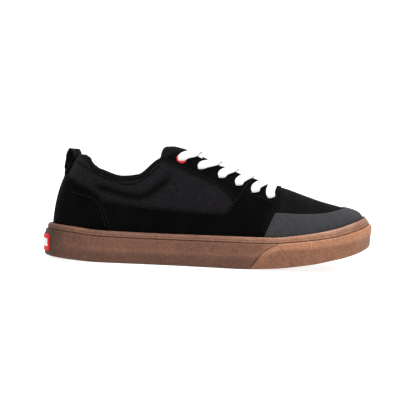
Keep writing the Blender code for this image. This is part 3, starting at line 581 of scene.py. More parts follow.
def side_normal(place, share):
    """Outward normal of the upper, from its own side of the ridge."""
    step = 0.02
    station, _ = fold(place)
    level = np.where(station > RIDGE_STATION - 0.1, np.minimum(share, 0.97), share)
    along = last_at(place + step, level) - last_at(place - step, level)
    up = last_at(place, np.minimum(share + step, 1)) - last_at(place, np.maximum(share - step, 0))
    return unit_rows(np.cross(along, up))


def last_normal(place, share):
    """Outward normal of the upper, even across the ridge of the vamp."""
    normal = side_normal(place, share)
    near = np.where(fold(place)[0] >= RIDGE_STATION - 1e-6, 0.5 * smooth_step(0.86, 1.0, share), 0.0)
    other = side_normal(LOOP - place, share)
    return unit_rows(normal * (1 - near)[:, None] + other * near[:, None])


def line_distance(points, line):
    """Distance of points from a polyline, distance along it of the nearest spot, and its length."""
    line = np.asarray(line, float)
    run = length_along(line)
    best = np.full(len(points), np.inf)
    where = np.zeros(len(points))
    for k in range(len(line) - 1):
        leg = line[k + 1] - line[k]
        size = max(leg @ leg, 1e-12)
        f = np.clip((points - line[k]) @ leg / size, 0, 1)
        away = np.linalg.norm(points - line[k] - f[:, None] * leg, axis=1)
        where = np.where(away < best, run[k] + f * np.sqrt(size), where)
        best = np.minimum(best, away)
    return best, where, run[-1]


def crease_near(points, line, width):
    """How near points lie to a crease, from 0 to 1, with the crease faded out at its ends."""
    away, where, run = line_distance(points[:, [0, 2]], line)
    fade = smooth_step(0, CREASE_FADE, where) * smooth_step(0, CREASE_FADE, run - where)
    return fade * np.exp(-((away / width) ** 2))


def crease_depth(points):
    """How far the creases move each point out along its normal."""
    moved = np.zeros(len(points))
    for depth, width, line in CREASES:
        moved -= depth * crease_near(points, line, width)
    return moved


def crease_shade(points):
    """How open the cloth lies to the light, as a mask for painted shade: 0 in the trough under the collar
    padding, 1 away from it.
    """
    return 1 - crease_near(points, CREASES[0][2], CREASE_SHADE)


def skin(place, share, lift=0.0):
    """Points on the creased upper, moved out by a lift, and the outward normals there."""
    place, share, lift = np.broadcast_arrays(np.asarray(place, float), np.asarray(share, float), lift)
    p = place.ravel()
    s = share.ravel()
    base = last_at(p, s)
    normal = last_normal(p, s)
    points = base + normal * (lift.ravel() + crease_depth(base))[:, None]
    return points.reshape(*place.shape, 3), normal.reshape(*place.shape, 3)


def share_below(place, setback):
    """Share of the rib at a distance along it below the top edge, for each place."""
    shares = np.linspace(0.45, 1.0, 111)
    place = np.asarray(place, float)
    rib = last_at(np.repeat(place, len(shares)), np.tile(shares, len(place)))
    rib = rib.reshape(len(place), len(shares), 3)
    steps = np.linalg.norm(np.diff(rib, axis=1), axis=2)
    below = np.cumsum(steps[:, ::-1], axis=1)[:, ::-1]
    below = np.concatenate((below, np.zeros((len(place), 1))), axis=1)
    setback = np.broadcast_to(setback, place.shape)
    return np.array([np.interp(-d, -b, shares) for d, b in zip(setback, below)])


def share_on(place, line):
    """Share at which each rib crosses a line given in (x, z), or its top where it never does."""
    shares = np.linspace(0.2, 1.0, 161)
    xs, zs = zip(*line)
    found = []
    for p in np.asarray(place, float):
        rib = last_at(np.full(len(shares), p), shares)
        over = rib[:, 2] - np.interp(rib[:, 0], xs, zs)
        k = int(np.argmax(over > 0))
        if k == 0:
            found.append(1.0)
            continue
        part = over[k - 1] / (over[k - 1] - over[k])
        found.append(shares[k - 1] + (shares[k] - shares[k - 1]) * part)
    return np.array(found)


def locate(points, side):
    """Station and share of the spots on one side that are seen at (x, z)."""
    points = np.asarray(points, float)
    stations, shares = np.meshgrid(np.linspace(0.3, 15.7, 155), np.linspace(0.06, 1.0, 80), indexing="ij")
    stations = stations.ravel()
    shares = shares.ravel()

    def seen(station, share):
        return last_at(placed(station, side), share)[:, [0, 2]]

    table = seen(stations, shares)
    nearest = [int(np.argmin(np.sum((table - p) ** 2, axis=1))) for p in points]
    place = stations[nearest]
    share = shares[nearest]
    step = 0.004
    for _ in range(8):
        here = seen(place, share)
        by_place = (seen(place + step, share) - seen(place - step, share)) / (2 * step)
        by_share = (seen(place, share + step) - seen(place, share - step)) / (2 * step)
        size = by_place[:, 0] * by_share[:, 1] - by_place[:, 1] * by_share[:, 0]
        off = points - here
        place_move = (off[:, 0] * by_share[:, 1] - off[:, 1] * by_share[:, 0]) / size
        share_move = (by_place[:, 0] * off[:, 1] - by_place[:, 1] * off[:, 0]) / size
        place = place + np.clip(place_move, -0.2, 0.2)
        share = np.clip(share + np.clip(share_move, -0.05, 0.05), 0.0, 1.0)
    return place, share


def edge(side, *curves):
    """Stations and shares along smooth curves in (x, z), joined with sharp corners between them."""
    stations = []
    shares = []
    for curve in curves:
        run = length_along(np.asarray(curve, float))[-1]
        place, share = locate(smooth_path(curve, max(4, int(run / 1.3))), side)
        stations.append(place)
        shares.append(share)
    return np.concatenate(stations), np.concatenate(shares)


def inset_row(place, share, distance):
    """A row on the surface at a distance to the left of a row, seen from outside along it."""
    step = 0.01
    points = last_at(place, share)
    along = unit_rows(np.gradient(points, axis=0))
    toward = np.cross(last_normal(place, share), along)
    by_place = (last_at(place + step, share) - last_at(place - step, share)) / (2 * step)
    by_share = (last_at(place, np.minimum(share + step, 1)) - last_at(place, share - step)) / (
        np.minimum(share + step, 1) - share + step
    )[:, None]
    aa = np.sum(by_place * by_place, axis=1)
    bb = np.sum(by_share * by_share, axis=1)
    ab = np.sum(by_place * by_share, axis=1)
    at = np.sum(by_place * toward, axis=1)
    bt = np.sum(by_share * toward, axis=1)
    size = aa * bb - ab * ab
    return place + distance * (at * bb - bt * ab) / size, share + distance * (aa * bt - ab * at) / size


def layers(*grids):
    """Points of grids, one grid after the other."""
    return np.vstack([grid.reshape(-1, 3) for grid in grids])


def make_mesh(name, points, faces, finish, uv=None, weld=0.0, rim=None):
    """Mesh piece on the shoe's body, from points in millimetres and faces, shaded smooth."""
    mesh = bpy.data.meshes.new(name)
    mesh.from_pydata((np.asarray(points) * MM).tolist(), [], [tuple(int(i) for i in f) for f in faces])
    if uv is not None:
        layer = mesh.uv_layers.new(name="weave")
        index = np.zeros(len(mesh.loops), int)
        mesh.loops.foreach_get("vertex_index", index)
        layer.data.foreach_set("uv", np.asarray(uv, float)[index].astype(np.float32).ravel())
    if rim is not None:
        mesh.attributes.new("rim", "FLOAT", "POINT").data.foreach_set("value", np.asarray(rim, np.float32))
    if weld:
        work = bmesh.new()
        work.from_mesh(mesh)
        bmesh.ops.remove_doubles(work, verts=work.verts, dist=weld * MM)
        bmesh.ops.dissolve_degenerate(work, edges=work.edges, dist=weld * MM)
        work.to_mesh(mesh)
        work.free()
    mesh.update()
    mesh.polygons.foreach_set("use_smooth", [True] * len(mesh.polygons))
    mesh.materials.append(finish)
    made = bpy.data.objects.new(name, mesh)
    bpy.context.scene.collection.objects.link(made)
    return made


def dress(piece, slot, *nodes):
    """Ride a piece on the shoe and hide the solids it stands for; slot, the name of its finish, is not used.
    """
    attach(piece, BODY)
    if nodes:
        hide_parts(*nodes)
    return piece


def sheet_faces(rows, columns):
    """Quads of a grid of points listed row by row."""
    faces = []
    for r in range(rows - 1):
        for c in range(columns - 1):
            a = r * columns + c
            faces.append((a, a + 1, a + columns + 1, a + columns))
    return faces


def slab_faces(rows, columns, open_top=None):
    """Quads of a closed slab between two grids; open_top marks top columns that need no wall."""
    count = rows * columns
    skin_faces = sheet_faces(rows, columns)
    faces = skin_faces + [tuple(i + count for i in f[::-1]) for f in skin_faces]
    top = (rows - 1) * columns
    for c in range(columns - 1):
        faces.append((c + 1, c, c + count, c + 1 + count))
        if open_top is None or not open_top[c]:
            faces.append((top + c, top + c + 1, top + c + 1 + count, top + c + count))
    for r in range(rows - 1):
        a = r * columns
        b = a + columns - 1
        faces.append((a, a + columns, a + columns + count, a + count))
        faces.append((b + columns, b, b + count, b + columns + count))
    return faces


def loop_faces(rings, count, closed=True):
    """Quads between rings of points listed ring by ring; closed joins the last ring to the first."""
    faces = []
    for k in range(rings if closed else rings - 1):
        after = (k + 1) % rings
        for i in range(count):
            j = (i + 1) % count
            faces.append((k * count + i, k * count + j, after * count + j, after * count + i))
    return faces


def join_parts(parts):
    """One list of points and faces from several."""
    points = []
    faces = []
    base = 0
    for some_points, some_faces in parts:
        points.append(np.asarray(some_points, float).reshape(-1, 3))
        faces += [tuple(i + base for i in f) for f in some_faces]
        base += len(points[-1])
    return np.vstack(points), faces


def flat_uv(points):
    """Distances along and up a grid of points, as texture coordinates in millimetres."""
    rows, columns = points.shape[:2]
    middle = length_along(points[rows // 2])
    up = np.stack([length_along(points[:, c]) for c in range(columns)], axis=1)
    return np.stack((np.broadcast_to(middle, (rows, columns)), up), axis=2).reshape(-1, 2)


def grey(value):
    """A neutral colour."""
    return (value, value, value)


class Finish:
    """Principled material with a few procedural helpers."""

    def __init__(self, name, color, roughness, **sockets):
        self.material = bpy.data.materials.new(name)
        self.material.use_nodes = True
        self.tree = self.material.node_tree
        self.shader = self.tree.nodes["Principled BSDF"]
        self.color(color)
        self.feed(self.shader.inputs["Roughness"], roughness)
        for socket, value in sockets.items():
            self.feed(self.shader.inputs[socket.replace("_", " ")], value)
        self.height = None

    def feed(self, socket, value):
        """Set a socket to a number or a colour, or link another node's output to it."""
        if isinstance(value, (int, float)):
            socket.default_value = value
        elif isinstance(value, tuple):
            socket.default_value = (*value, 1.0)
        else:
            self.tree.links.new(value, socket)

    def node(self, kind, inputs=None, **settings):
        """New node with its settings and inputs."""
        made = self.tree.nodes.new(kind)
        for key, value in settings.items():
            setattr(made, key, value)
        for key, value in (inputs or {}).items():
            self.feed(made.inputs[key], value)
        return made

    def axis(self, name, space="UV"):
        """One coordinate of a texture space."""
        vector = self.node("ShaderNodeTexCoord").outputs[space]
        return self.node("ShaderNodeSeparateXYZ", {"Vector": vector}).outputs[name]

    def noise(self, scale, detail=2.0, roughness=0.5):
        """Cloudy noise in the shoe's own space."""
        vector = self.node("ShaderNodeTexCoord").outputs["Object"]
        inputs = {"Vector": vector, "Scale": scale, "Detail": detail, "Roughness": roughness}
        return self.node("ShaderNodeTexNoise", inputs).outputs["Fac"]

    def math(self, operation, *values):
        made = self.node("ShaderNodeMath", operation=operation)
        for socket, value in zip(made.inputs, values):
            self.feed(socket, value)
        return made.outputs["Value"]

    def wave(self, value, pitch):
        """Sine of a value, with a pitch in its units."""
        return self.math("SINE", self.math("MULTIPLY", value, 2 * pi / pitch))

    def spread(self, value, **limits):
        """A value carried over from one range to another."""
        inputs = {key.replace("_", " "): limit for key, limit in limits.items()}
        return self.node("ShaderNodeMapRange", {"Value": value, **inputs}).outputs["Result"]

    def ramp(self, factor, *stops):
        """Colours between stops given as (position, colour)."""
        made = self.node("ShaderNodeValToRGB", {"Fac": factor})
        ramp = made.color_ramp
        while len(ramp.elements) < len(stops):
            ramp.elements.new(0.5)
        for element, (position, color) in zip(ramp.elements, stops):
            element.position = position
            element.color = (*color, 1.0)
        return made.outputs["Color"]

    def mix(self, factor, first, second, blend="MIX"):
        made = self.node("ShaderNodeMix", {"Factor": factor}, data_type="RGBA", blend_type=blend)
        for name, value in (("A", first), ("B", second)):
            self.feed(next(s for s in made.inputs if s.name == name and s.type == "RGBA"), value)
        return next(s for s in made.outputs if s.type == "RGBA")

    def color(self, source):
        self.feed(self.shader.inputs["Base Color"], source)

    def rough(self, factor, low, high):
        self.feed(self.shader.inputs["Roughness"], self.spread(factor, To_Min=low, To_Max=high))

    def bump(self, height, distance, strength):
        """Relief over the reliefs before it, with its distance in millimetres."""
        inputs = {"Strength": strength, "Distance": distance * MM, "Height": height}
        if self.height:
            inputs["Normal"] = self.height
        self.height = self.node("ShaderNodeBump", inputs).outputs["Normal"]
        self.feed(self.shader.inputs["Normal"], self.height)

    def mark(self):
        """What the piece's points carry: distance from a cut edge, along which a highlight is painted, or a
        painted shade.
        """
        return self.node("ShaderNodeAttribute", attribute_name="rim").outputs["Fac"]

    def rim(self, source, color, reach):
        """Blend in another colour where the piece's mark is below a reach: a painted highlight by a cut
        edge, or a painted shade.
        """
        near = self.spread(self.mark(), From_Max=reach, To_Min=1.0, To_Max=0.0)
        return self.mix(near, source, color)


def suede_finish(name, dark, light, edge_highlight):
    """Brushed suede: short nap, cloudy tone, and a painted highlight along the cut edges where they catch
    the light.
    """
    finish = Finish(name, dark, 0.95, Sheen_Weight=0.01, Sheen_Roughness=0.4, Specular_IOR_Level=0.03)
    cloud = finish.ramp(finish.noise(60, 5.0, 0.65), (0.35, dark), (0.72, light))
    speck = finish.ramp(finish.noise(2600, 3.0, 0.7), (0.50, grey(0.0)), (0.78, grey(1.0)))
    napped = finish.mix(speck, cloud, tuple(2.2 * v for v in light))
    # Painted highlight: a lighter colour along the cut edges
    finish.color(finish.rim(napped, edge_highlight, 0.7))
    finish.bump(finish.noise(2400, 4.0, 0.7), 0.16, 0.45)
    finish.bump(finish.noise(160), 0.3, 0.25)
    return finish.material


def cloth_finish(name, dark, light, pitch, depth, painted_shade=None):
    """Plain weave with a mottled tone, and painted shade in a crease trough where the piece marks one."""
    finish = Finish(name, dark, 0.92, Sheen_Weight=0.02, Sheen_Roughness=0.5, Specular_IOR_Level=0.05)
    waves = [finish.wave(finish.axis(axis), pitch) for axis in "XY"]
    lifted = finish.math("MULTIPLY_ADD", finish.math("MULTIPLY", *waves), 0.5, 0.5)
    cloud = finish.ramp(finish.noise(900, 3.0, 0.65), (0.36, dark), (0.64, light))
    woven = finish.mix(lifted, finish.mix(0.35, cloud, dark), cloud)
    finish.color(finish.rim(woven, painted_shade, 1.0) if painted_shade else woven)
    finish.bump(lifted, depth, 0.8)
    finish.bump(finish.noise(900, 3.0, 0.6), 0.12, 0.4)
    return finish.material


def gum_finish(name, roughness, *stops):
    """Moulded gum rubber: a tone along the shoe that is partly painted light, painted shade over the band's
    form, cloudiness, fine grain.
    """
    finish = Finish(name, stops[0][1], roughness, Specular_IOR_Level=0.25)
    along = finish.spread(finish.axis("X", "Object"), From_Min=-GUM_REACH * MM, From_Max=GUM_REACH * MM)
    cloud = finish.ramp(finish.noise(90, 6.0, 0.7), (0.3, grey(0.82)), (0.72, (1.12, 1.10, 1.09)))
    grain = finish.noise(620, 3.0, 0.65)
    fine = finish.ramp(grain, (0.36, grey(0.72)), (0.66, grey(1.22)))
    shade = finish.ramp(along, *stops)
    # The piece's mark is its painted shade, multiplied into the colour
    for layer in (finish.mark(), cloud, fine):
        shade = finish.mix(1.0, shade, layer, "MULTIPLY")
    finish.color(shade)
    finish.rough(grain, roughness - 0.08, roughness + 0.12)
    finish.bump(grain, 0.10, 0.5)
    return finish.material


def guard_finish():
    """Matte speckled toe guard, with a painted highlight along its cut edges."""
    finish = Finish(
        "toe_guard_rubber", (0.040, 0.039, 0.044), 0.9, Sheen_Weight=0.03, Specular_IOR_Level=0.1,
    )
    cloud = finish.ramp(
        finish.noise(200, 5.0, 0.65), (0.32, (0.034, 0.033, 0.037)), (0.70, (0.046, 0.045, 0.050)),
    )
    fleck = finish.ramp(finish.noise(2400, 3.0, 0.7), (0.50, grey(0.0)), (0.85, grey(1.0)))
    # Painted highlight: a lighter colour along the guard's cut edges
    finish.color(finish.rim(finish.mix(fleck, cloud, (0.072, 0.070, 0.076)), (0.075, 0.073, 0.08), 0.4))
    finish.bump(finish.noise(2400, 3.0, 0.6), 0.10, 0.4)
    return finish.material


def lace_finish():
    """White flat lace with a herringbone weave."""
    finish = Finish("white_lace", grey(0.9), 0.85, Sheen_Weight=0.1, Specular_IOR_Level=0.2)
    across = finish.axis("Y")
    slanted = finish.math("ADD", finish.axis("X"), finish.math("ABSOLUTE", across))
    ribs = finish.math("MULTIPLY", finish.wave(across, 1.3), 0.6)
    braid = finish.math("ADD", finish.wave(slanted, 1.1), ribs)
    finish.color(finish.ramp(braid, (0.0, grey(0.70)), (0.5, grey(0.80))))
    finish.bump(braid, 0.05, 0.4)
    return finish.material


def webbing_finish():
    """Black woven webbing with fine ribs."""
    finish = Finish("black_webbing", grey(0.002), 0.9, Sheen_Weight=0.01, Specular_IOR_Level=0.06)
    ribs = finish.math("MULTIPLY", finish.wave(finish.axis("X"), 1.3), finish.wave(finish.axis("Y"), 1.0))
    finish.color(finish.ramp(ribs, (0.0, grey(0.0012)), (0.9, grey(0.004))))
    finish.bump(ribs, 0.16, 0.6)
    return finish.material


def plain_finish(name, color, roughness, grain, **sockets):
    """Moulded or enamelled surface with a faint grain."""
    finish = Finish(name, color, roughness, **sockets)
    cloud = finish.noise(220, 3.0)
    finish.color(finish.ramp(cloud, (0.3, tuple(0.9 * v for v in color)), (0.7, color)))
    finish.rough(cloud, roughness - 0.05, roughness + 0.08)
    finish.bump(finish.noise(1200), grain, 0.4)
    return finish.material


# The last colour of each suede is its painted highlight along cut edges
SUEDE = suede_finish("black_suede", (0.0010, 0.0010, 0.0011), (0.0026, 0.0026, 0.0027), grey(0.014))
VAMP = suede_finish("vamp_suede", grey(0.002), (0.0075, 0.0073, 0.0071), grey(0.012))
# Painted shade for the canvas in the trough under the collar padding
CANVAS_PAINTED_SHADE = (0.0026, 0.0023, 0.0027)
CANVAS = cloth_finish(
    "canvas", (0.0042, 0.0037, 0.0043), (0.0190, 0.0171, 0.0197), 0.9, 0.16, CANVAS_PAINTED_SHADE,
)
LINING = cloth_finish("collar_lining", (0.0022, 0.0021, 0.0023), (0.005, 0.0048, 0.0052), 0.7, 0.08)
TONGUE_CLOTH = cloth_finish(
    "tongue_cloth", (0.0022, 0.0021, 0.0023), (0.0055, 0.0053, 0.0057), 0.8, 0.12,
)
FOOTBED = cloth_finish("footbed", (0.02, 0.02, 0.021), (0.035, 0.035, 0.037), 1.1, 0.10)

# Gum rubber, with its colour at shares of the way from the heel to the toe: partly the rubber's own tone,
# partly painted light, lighter towards the toe where the key light falls
GUM_REACH = 150.0
REAR_GUM = gum_finish(
    "gum_rubber", 0.62,
    (0.0, (0.064, 0.028, 0.018)), (0.043, (0.064, 0.0285, 0.0175)), (0.063, (0.088, 0.039, 0.024)),
    (0.085, (0.122, 0.054, 0.034)), (0.25, (0.150, 0.068, 0.043)), (0.42, (0.142, 0.064, 0.0405)),
    (0.6, (0.148, 0.067, 0.042)), (0.82, (0.235, 0.108, 0.063)), (1.0, (0.31, 0.145, 0.083)),
)
STRIP_GUM = gum_finish(
    "strip_gum_rubber", 0.62,
    (0.0, (0.125, 0.056, 0.036)), (0.045, (0.135, 0.062, 0.039)), (0.067, (0.172, 0.080, 0.052)),
    (0.09, (0.208, 0.100, 0.066)), (0.25, (0.246, 0.122, 0.080)), (0.5, (0.262, 0.130, 0.084)),
    (0.6, (0.315, 0.154, 0.098)), (0.71, (0.385, 0.190, 0.120)), (0.83, (0.410, 0.215, 0.137)),
    (0.9, (0.400, 0.212, 0.136)), (0.95, (0.290, 0.150, 0.095)),
)
TOE_GUM = gum_finish(
    "toe_gum_rubber", 0.6,
    (0.6, (0.270, 0.121, 0.069)), (0.8, (0.325, 0.148, 0.083)), (1.0, (0.37, 0.170, 0.095)),
)
TOE_GUARD = guard_finish()
LACE = lace_finish()
WEBBING = webbing_finish()
RED_RUBBER = plain_finish("red_rubber", (0.60, 0.006, 0.008), 0.5, 0.05, Specular_IOR_Level=0.15)
WHITE_RUBBER = plain_finish("white_rubber", (0.82, 0.80, 0.79), 0.5, 0.05)
RED_ENAMEL = plain_finish(
    "red_enamel", (0.60, 0.008, 0.010), 0.35, 0.03, Specular_IOR_Level=0.25, Coat_Weight=0.1,
)
THREAD = plain_finish("thread", (0.020, 0.020, 0.0205), 0.85, 0.05, Specular_IOR_Level=0.1)


def ridge_at(x):
    """Share of the band's height at which its ridge lies, and the hollow below it."""
    xs, shares, hollows = zip(*RIDGE)
    return np.interp(x, xs, shares), np.interp(x, xs, hollows)


def band_inset(share, x):
    """Distance in of the band's soft ridge form at shares of its height."""
    ridge, hollow = ridge_at(x)
    below = smooth_step(0, RIDGE_REACH, ridge - share) - 0.5 * smooth_step(RIDGE_REACH, ridge, ridge - share)
    drawn = HEEL_DRAW * smooth_step(*HEEL_DRAW_RUN, x)
    return drawn + hollow * below + RIDGE_LEAN * np.maximum((share - ridge) / (1 - ridge), 0) ** 1.5


def band_painted_shade(share, x):
    """Painted light and shade on the rubber, as if lit from above: lightest on the ridge, darker in the
    hollow below it.
    """
    ridge, _ = ridge_at(x)
    over = share - ridge
    toe = smooth_step(*SHADE_TOE_RUN, x)
    above, below, foot = (
        rear + (front - rear) * toe for rear, front in (SHADE_ABOVE, SHADE_BELOW, SHADE_FOOT)
    )
    light, centre, width = SHADE_LINE
    upper = above + light * np.exp(-(((over - centre) / width) ** 2)) * (1 - toe)
    lower = foot + (below - foot) * np.clip(share / ridge, 0, 1)
    shade = lower + (upper - lower) * smooth_step(*SHADE_TURN, over)
    return 1 + (shade - 1) * smooth_step(*SHADE_HEEL_RUN, x)


def band_points(place, share, inset):
    """Points on the side band at a share of its height, moved in from its ridge form."""
    x = outline(place, 0.0)[0][:, 0]
    xy, _ = outline(place, inset + band_inset(share, x) + sole_height("tuck", x) * (1 - share))
    bottom = sole_height("bottom", xy[:, 0])
    return np.column_stack((xy, bottom + share * (sole_height("step", xy[:, 0]) - bottom)))


def band_grid(seam_rows, columns):
    """Points of the side band on columns between two seams, row by row up the band."""
    rows = []
    for (share, inset), (start, stop) in zip(BAND_ROWS, seam_rows):
        place = start + (stop - start) * columns
        run = np.minimum(columns, 1 - columns) * abs(stop - start) * STATION_RUN
        corner = np.clip(1 - run / SEAM_ROUND, 0, 1)
        rounding = SEAM_ROUND * (1 - np.sqrt(np.maximum(1 - corner**2, 0)))
        rows.append(band_points(place, share, inset + rounding))
    return np.stack(rows)


def behind_band(grid, depth):
    """The band's grid moved in towards the middle of the shoe, as its back."""
    along = np.gradient(grid, axis=1)
    normal = unit_rows(np.stack((along[..., 1], -along[..., 0]), axis=2))
    moved = grid.copy()
    moved[..., :2] -= normal * depth
    return moved


def seam_places(side):
    """Place of the bumper's seam on one side at each row of the band."""
    place = placed(np.linspace(*SEAM_STATIONS, 400), side)
    xy, _ = outline(place, 0.0)
    bottom = sole_height("bottom", xy[:, 0])
    height = sole_height("step", xy[:, 0]) - bottom
    xs, zs = zip(*BUMPER_SEAM[::-1])
    found = []
    for share, _ in BAND_ROWS:
        off = xy[:, 0] - np.interp(bottom + share * height, zs, xs)
        found.append(float(np.interp(0.0, off, place)))
    return np.array(found)


def build_sole():
    """Side band with its toe bumper, tread, foxing strip and heel tag."""
    ends = np.array((0.0, 0.0004, 0.001, 0.002, 0.004))
    columns = np.concatenate((ends, np.linspace(0.008, 0.992, 300), 1 - ends[::-1]))
    lateral = seam_places(-1)
    medial = seam_places(1)
    rear = band_grid(list(zip(medial - LOOP + SEAM_GAP, lateral - SEAM_GAP)), columns)
    front = band_grid(list(zip(lateral + SEAM_GAP, medial - SEAM_GAP)), columns)
    shares = np.array([share for share, _ in BAND_ROWS])[:, None]
    rear_points = layers(rear, behind_band(rear, BAND_DEPTH))
    points, faces = join_parts(((rear_points, slab_faces(*rear.shape[:2])), tread()))
    # Painted shade in the rim attribute: lighter over the band's ridge, darker below it and on the tread
    shade = band_painted_shade(shares, rear[..., 0]).ravel()
    shade = np.concatenate((shade, np.full(len(points) - len(shade), TREAD_SHADE)))
    outsole = make_mesh("outsole_gum", points, faces, REAR_GUM, rim=shade)
    dress(outsole, "gum_rubber", "outsole")
    points = layers(front, behind_band(front, BUMPER_DEPTH))
    # The bumper carries the same painted shade
    shade = np.tile(band_painted_shade(shares, front[..., 0]).ravel(), 2)
    bumper = make_mesh("toe_bumper_gum", points, slab_faces(*front.shape[:2]), TOE_GUM, rim=shade)
    dress(bumper, "toe_gum_rubber", "toe_bumper")

    places = np.linspace(0, LOOP, 400, endpoint=False)
    inner_x = outline(places, CUP_WALL)[0][:, 0]
    rim = sole_height("rim", inner_x)
    slant = STRIP_SLANT * smooth_step(*STRIP_SLANT_RUN, inner_x)
    rings = []
    for share, inset in STRIP_PROFILE:
        drawn = slant * max(share - STRIP_SLANT_FOOT, 0.0) / (1 - STRIP_SLANT_FOOT)
        xy, _ = outline(places, np.minimum(inset + drawn, STRIP_REACH))
        foot = sole_height("step", xy[:, 0]) + GAP
        rings.append(np.column_stack((xy, foot + share * (rim - foot))))
    points = np.vstack(rings)
    strip = make_mesh("foxing_strip_gum", points, loop_faces(len(rings), len(places)), STRIP_GUM,
                      rim=np.ones(len(points)))
    dress(strip, "gum_rubber", "foxing_strip")

    tag = tag_slab("heel_tag_red", TAG_RUN, TAG_SHARES, GAP, TAG_THICKNESS, RED_RUBBER)
    dress(tag, "red_rubber", "heel_tag")
    block = tag_slab("heel_tag_block", BLOCK_RUN, BLOCK_SHARES, GAP + TAG_THICKNESS - BLOCK_SINK,
                     BLOCK_THICKNESS + BLOCK_SINK, WHITE_RUBBER)
    dress(block, "red_rubber")


def tread():
    """Underside with its grooves and fine ripples, closed by a backing inside the cup."""
    places = np.linspace(0, TOE_STATION, 400)
    tuck = sole_height("tuck", outline(places, 0.0)[0][:, 0])
    lateral, medial = (outline(placed(places, side), TREAD_INSET + tuck)[0] for side in (-1, 1))
    xs = np.linspace(lateral[0, 0] + TREAD_END, lateral[-1, 0] - TREAD_END, 420)
    low = np.interp(xs, lateral[:, 0], lateral[:, 1])
    high = np.interp(xs, medial[:, 0], medial[:, 1])
    across = np.sin(np.linspace(-pi / 2, pi / 2, 64))[:, None] * 0.5 + 0.5
    y = low + (high - low) * across
    x = np.broadcast_to(xs, y.shape)
    margin = np.minimum(y - low, high - y)
    inside = smooth_step(*(GROOVE_MARGIN - fade for fade in GROOVE_FADE), margin)
    walls = [GROOVE_WIDTH / 2 + soft for soft in GROOVE_SOFT]
    groove = np.zeros_like(y)
    for centre in GROOVES:
        groove = np.maximum(groove, 1 - smooth_step(*walls, np.abs(x - centre)))
    ripple = np.sin(2 * pi * (x + RIPPLE_SWEEP * np.abs(y)) / RIPPLE_PITCH)
    ripple = smooth_step(*RIPPLE_SOFT, ripple)
    depth = inside * np.maximum(groove * GROOVE_DEPTH, ripple * RIPPLE_DEPTH)
    bottom = sole_height("bottom", x)
    lower = np.stack((x, y, bottom + depth), axis=2)
    upper = np.stack((x, y, bottom + TREAD_DEPTH), axis=2)
    return layers(upper, lower), slab_faces(*y.shape)


def tag_slab(name, run, shares, seat, thickness, finish):
    """Rounded slab on the back of the side band."""
    across, up = np.meshgrid(np.linspace(-1, 1, 48), np.linspace(-1, 1, 28))
    square = np.maximum(np.abs(across), np.abs(up))
    corner = (np.abs(across) ** TAG_CORNER + np.abs(up) ** TAG_CORNER) ** (1 / TAG_CORNER)
    round_off = square / np.maximum(corner, 1e-9)
    place = across * round_off * run
    share = shares[0] + (shares[1] - shares[0]) * (up * round_off + 1) / 2
    fall = np.clip((square - 1 + TAG_EDGE) / TAG_EDGE, 0, 1)
    lift = seat + thickness * np.sqrt(np.maximum(1 - fall**2, 0))
    faces_and_back = [
        band_points(place.ravel(), share.ravel(), -offset.ravel())
        for offset in (lift, np.full(lift.shape, seat))
    ]
    return make_mesh(name, layers(*faces_and_back), slab_faces(*place.shape), finish)


def build_insole():
    """Footbed with a low raised edge."""
    places = np.linspace(0, LOOP, 240, endpoint=False)
    rim, _ = outline(places, LAST_INSET + WALL + INSOLE_GAP)
    spine_x = np.clip(rim[:, 0], *INSOLE_SPINE)
    stations = np.linspace(0, TOE_STATION, 200)
    edges = [outline(placed(stations, side), 0.0)[0] for side in (-1, 1)]
    lateral_y, medial_y = (np.interp(spine_x, xy[:, 0], xy[:, 1]) for xy in edges)
    spine = np.column_stack((spine_x, (lateral_y + medial_y) / 2))
    rings = []
    for toward, rise in INSOLE_RINGS:
        xy = rim + (spine - rim) * toward
        heel = 1 + INSOLE_HEEL * (1 - smooth_step(*INSOLE_HEEL_RUN, xy[:, 0])) * (1 - toward)
        rings.append(np.column_stack((xy, sole_height("floor", xy[:, 0]) + rise * heel)))
    points = np.vstack(rings)
    faces = loop_faces(len(rings), len(places), closed=False)
    faces.append(tuple(range(len(places) - 1, -1, -1)))
    insole = make_mesh("footbed_cloth", points, faces, FOOTBED, uv=points[:, :2], weld=0.01)
    dress(insole, "footbed", "insole")


def wall_thickness(place, share):
    """Wall of the upper with its collar padding."""
    swell = smooth_step(*PAD_SHARES, share)
    return WALL + station_column("pad", fold(place)[0]) * swell


def build_upper(holes):
    """Canvas quarters, suede vamp and the padded collar lining."""
    places = np.linspace(-VAMP_STATION, VAMP_STATION, 330)
    shares = np.concatenate((np.linspace(UPPER_FOOT, 0.9, 50), np.linspace(0.92, 1.0, 8)))
    place, share = np.meshgrid(places, shares)
    outer, _ = skin(place, share)
    inner, _ = skin(place, share, -wall_thickness(place.ravel(), share.ravel()).reshape(place.shape))
    points = layers(outer, inner)
    # The canvas carries the crease mask, with which its finish paints shade into the trough under the collar
    # padding
    canvas = make_mesh("quarter_canvas", points, slab_faces(*place.shape), CANVAS,
                       uv=np.tile(flat_uv(outer), (2, 1)), rim=crease_shade(points))
    cut(canvas, holes)
    dress(canvas, "canvas", "upper")

    ridge_ends = (RIDGE_STATION, LOOP - RIDGE_STATION)
    places = np.concatenate((
        np.linspace(VAMP_STATION, ridge_ends[0] - RIDGE_STEP, 50), np.linspace(*ridge_ends, 220),
        np.linspace(ridge_ends[1] + RIDGE_STEP, LOOP - VAMP_STATION, 50),
    ))
    shares = np.concatenate((np.linspace(UPPER_FOOT, 0.96, 52), np.linspace(0.97, 1.0, 4)))
    place, share = np.meshgrid(places, shares)
    points = layers(skin(place, share)[0], skin(place, share, -WALL)[0])
    on_ridge = np.abs(places - TOE_STATION) < TOE_STATION - RIDGE_STATION + RIDGE_STEP / 2
    faces = slab_faces(*place.shape, open_top=on_ridge[:-1] & on_ridge[1:])
    vamp = make_mesh("vamp_suede", points, faces, VAMP, weld=0.02, rim=np.full(len(points), FAR_FROM_EDGE))
    cut(vamp, holes)
    dress(vamp, "black_suede")
    build_lining()
    build_collar_seam()


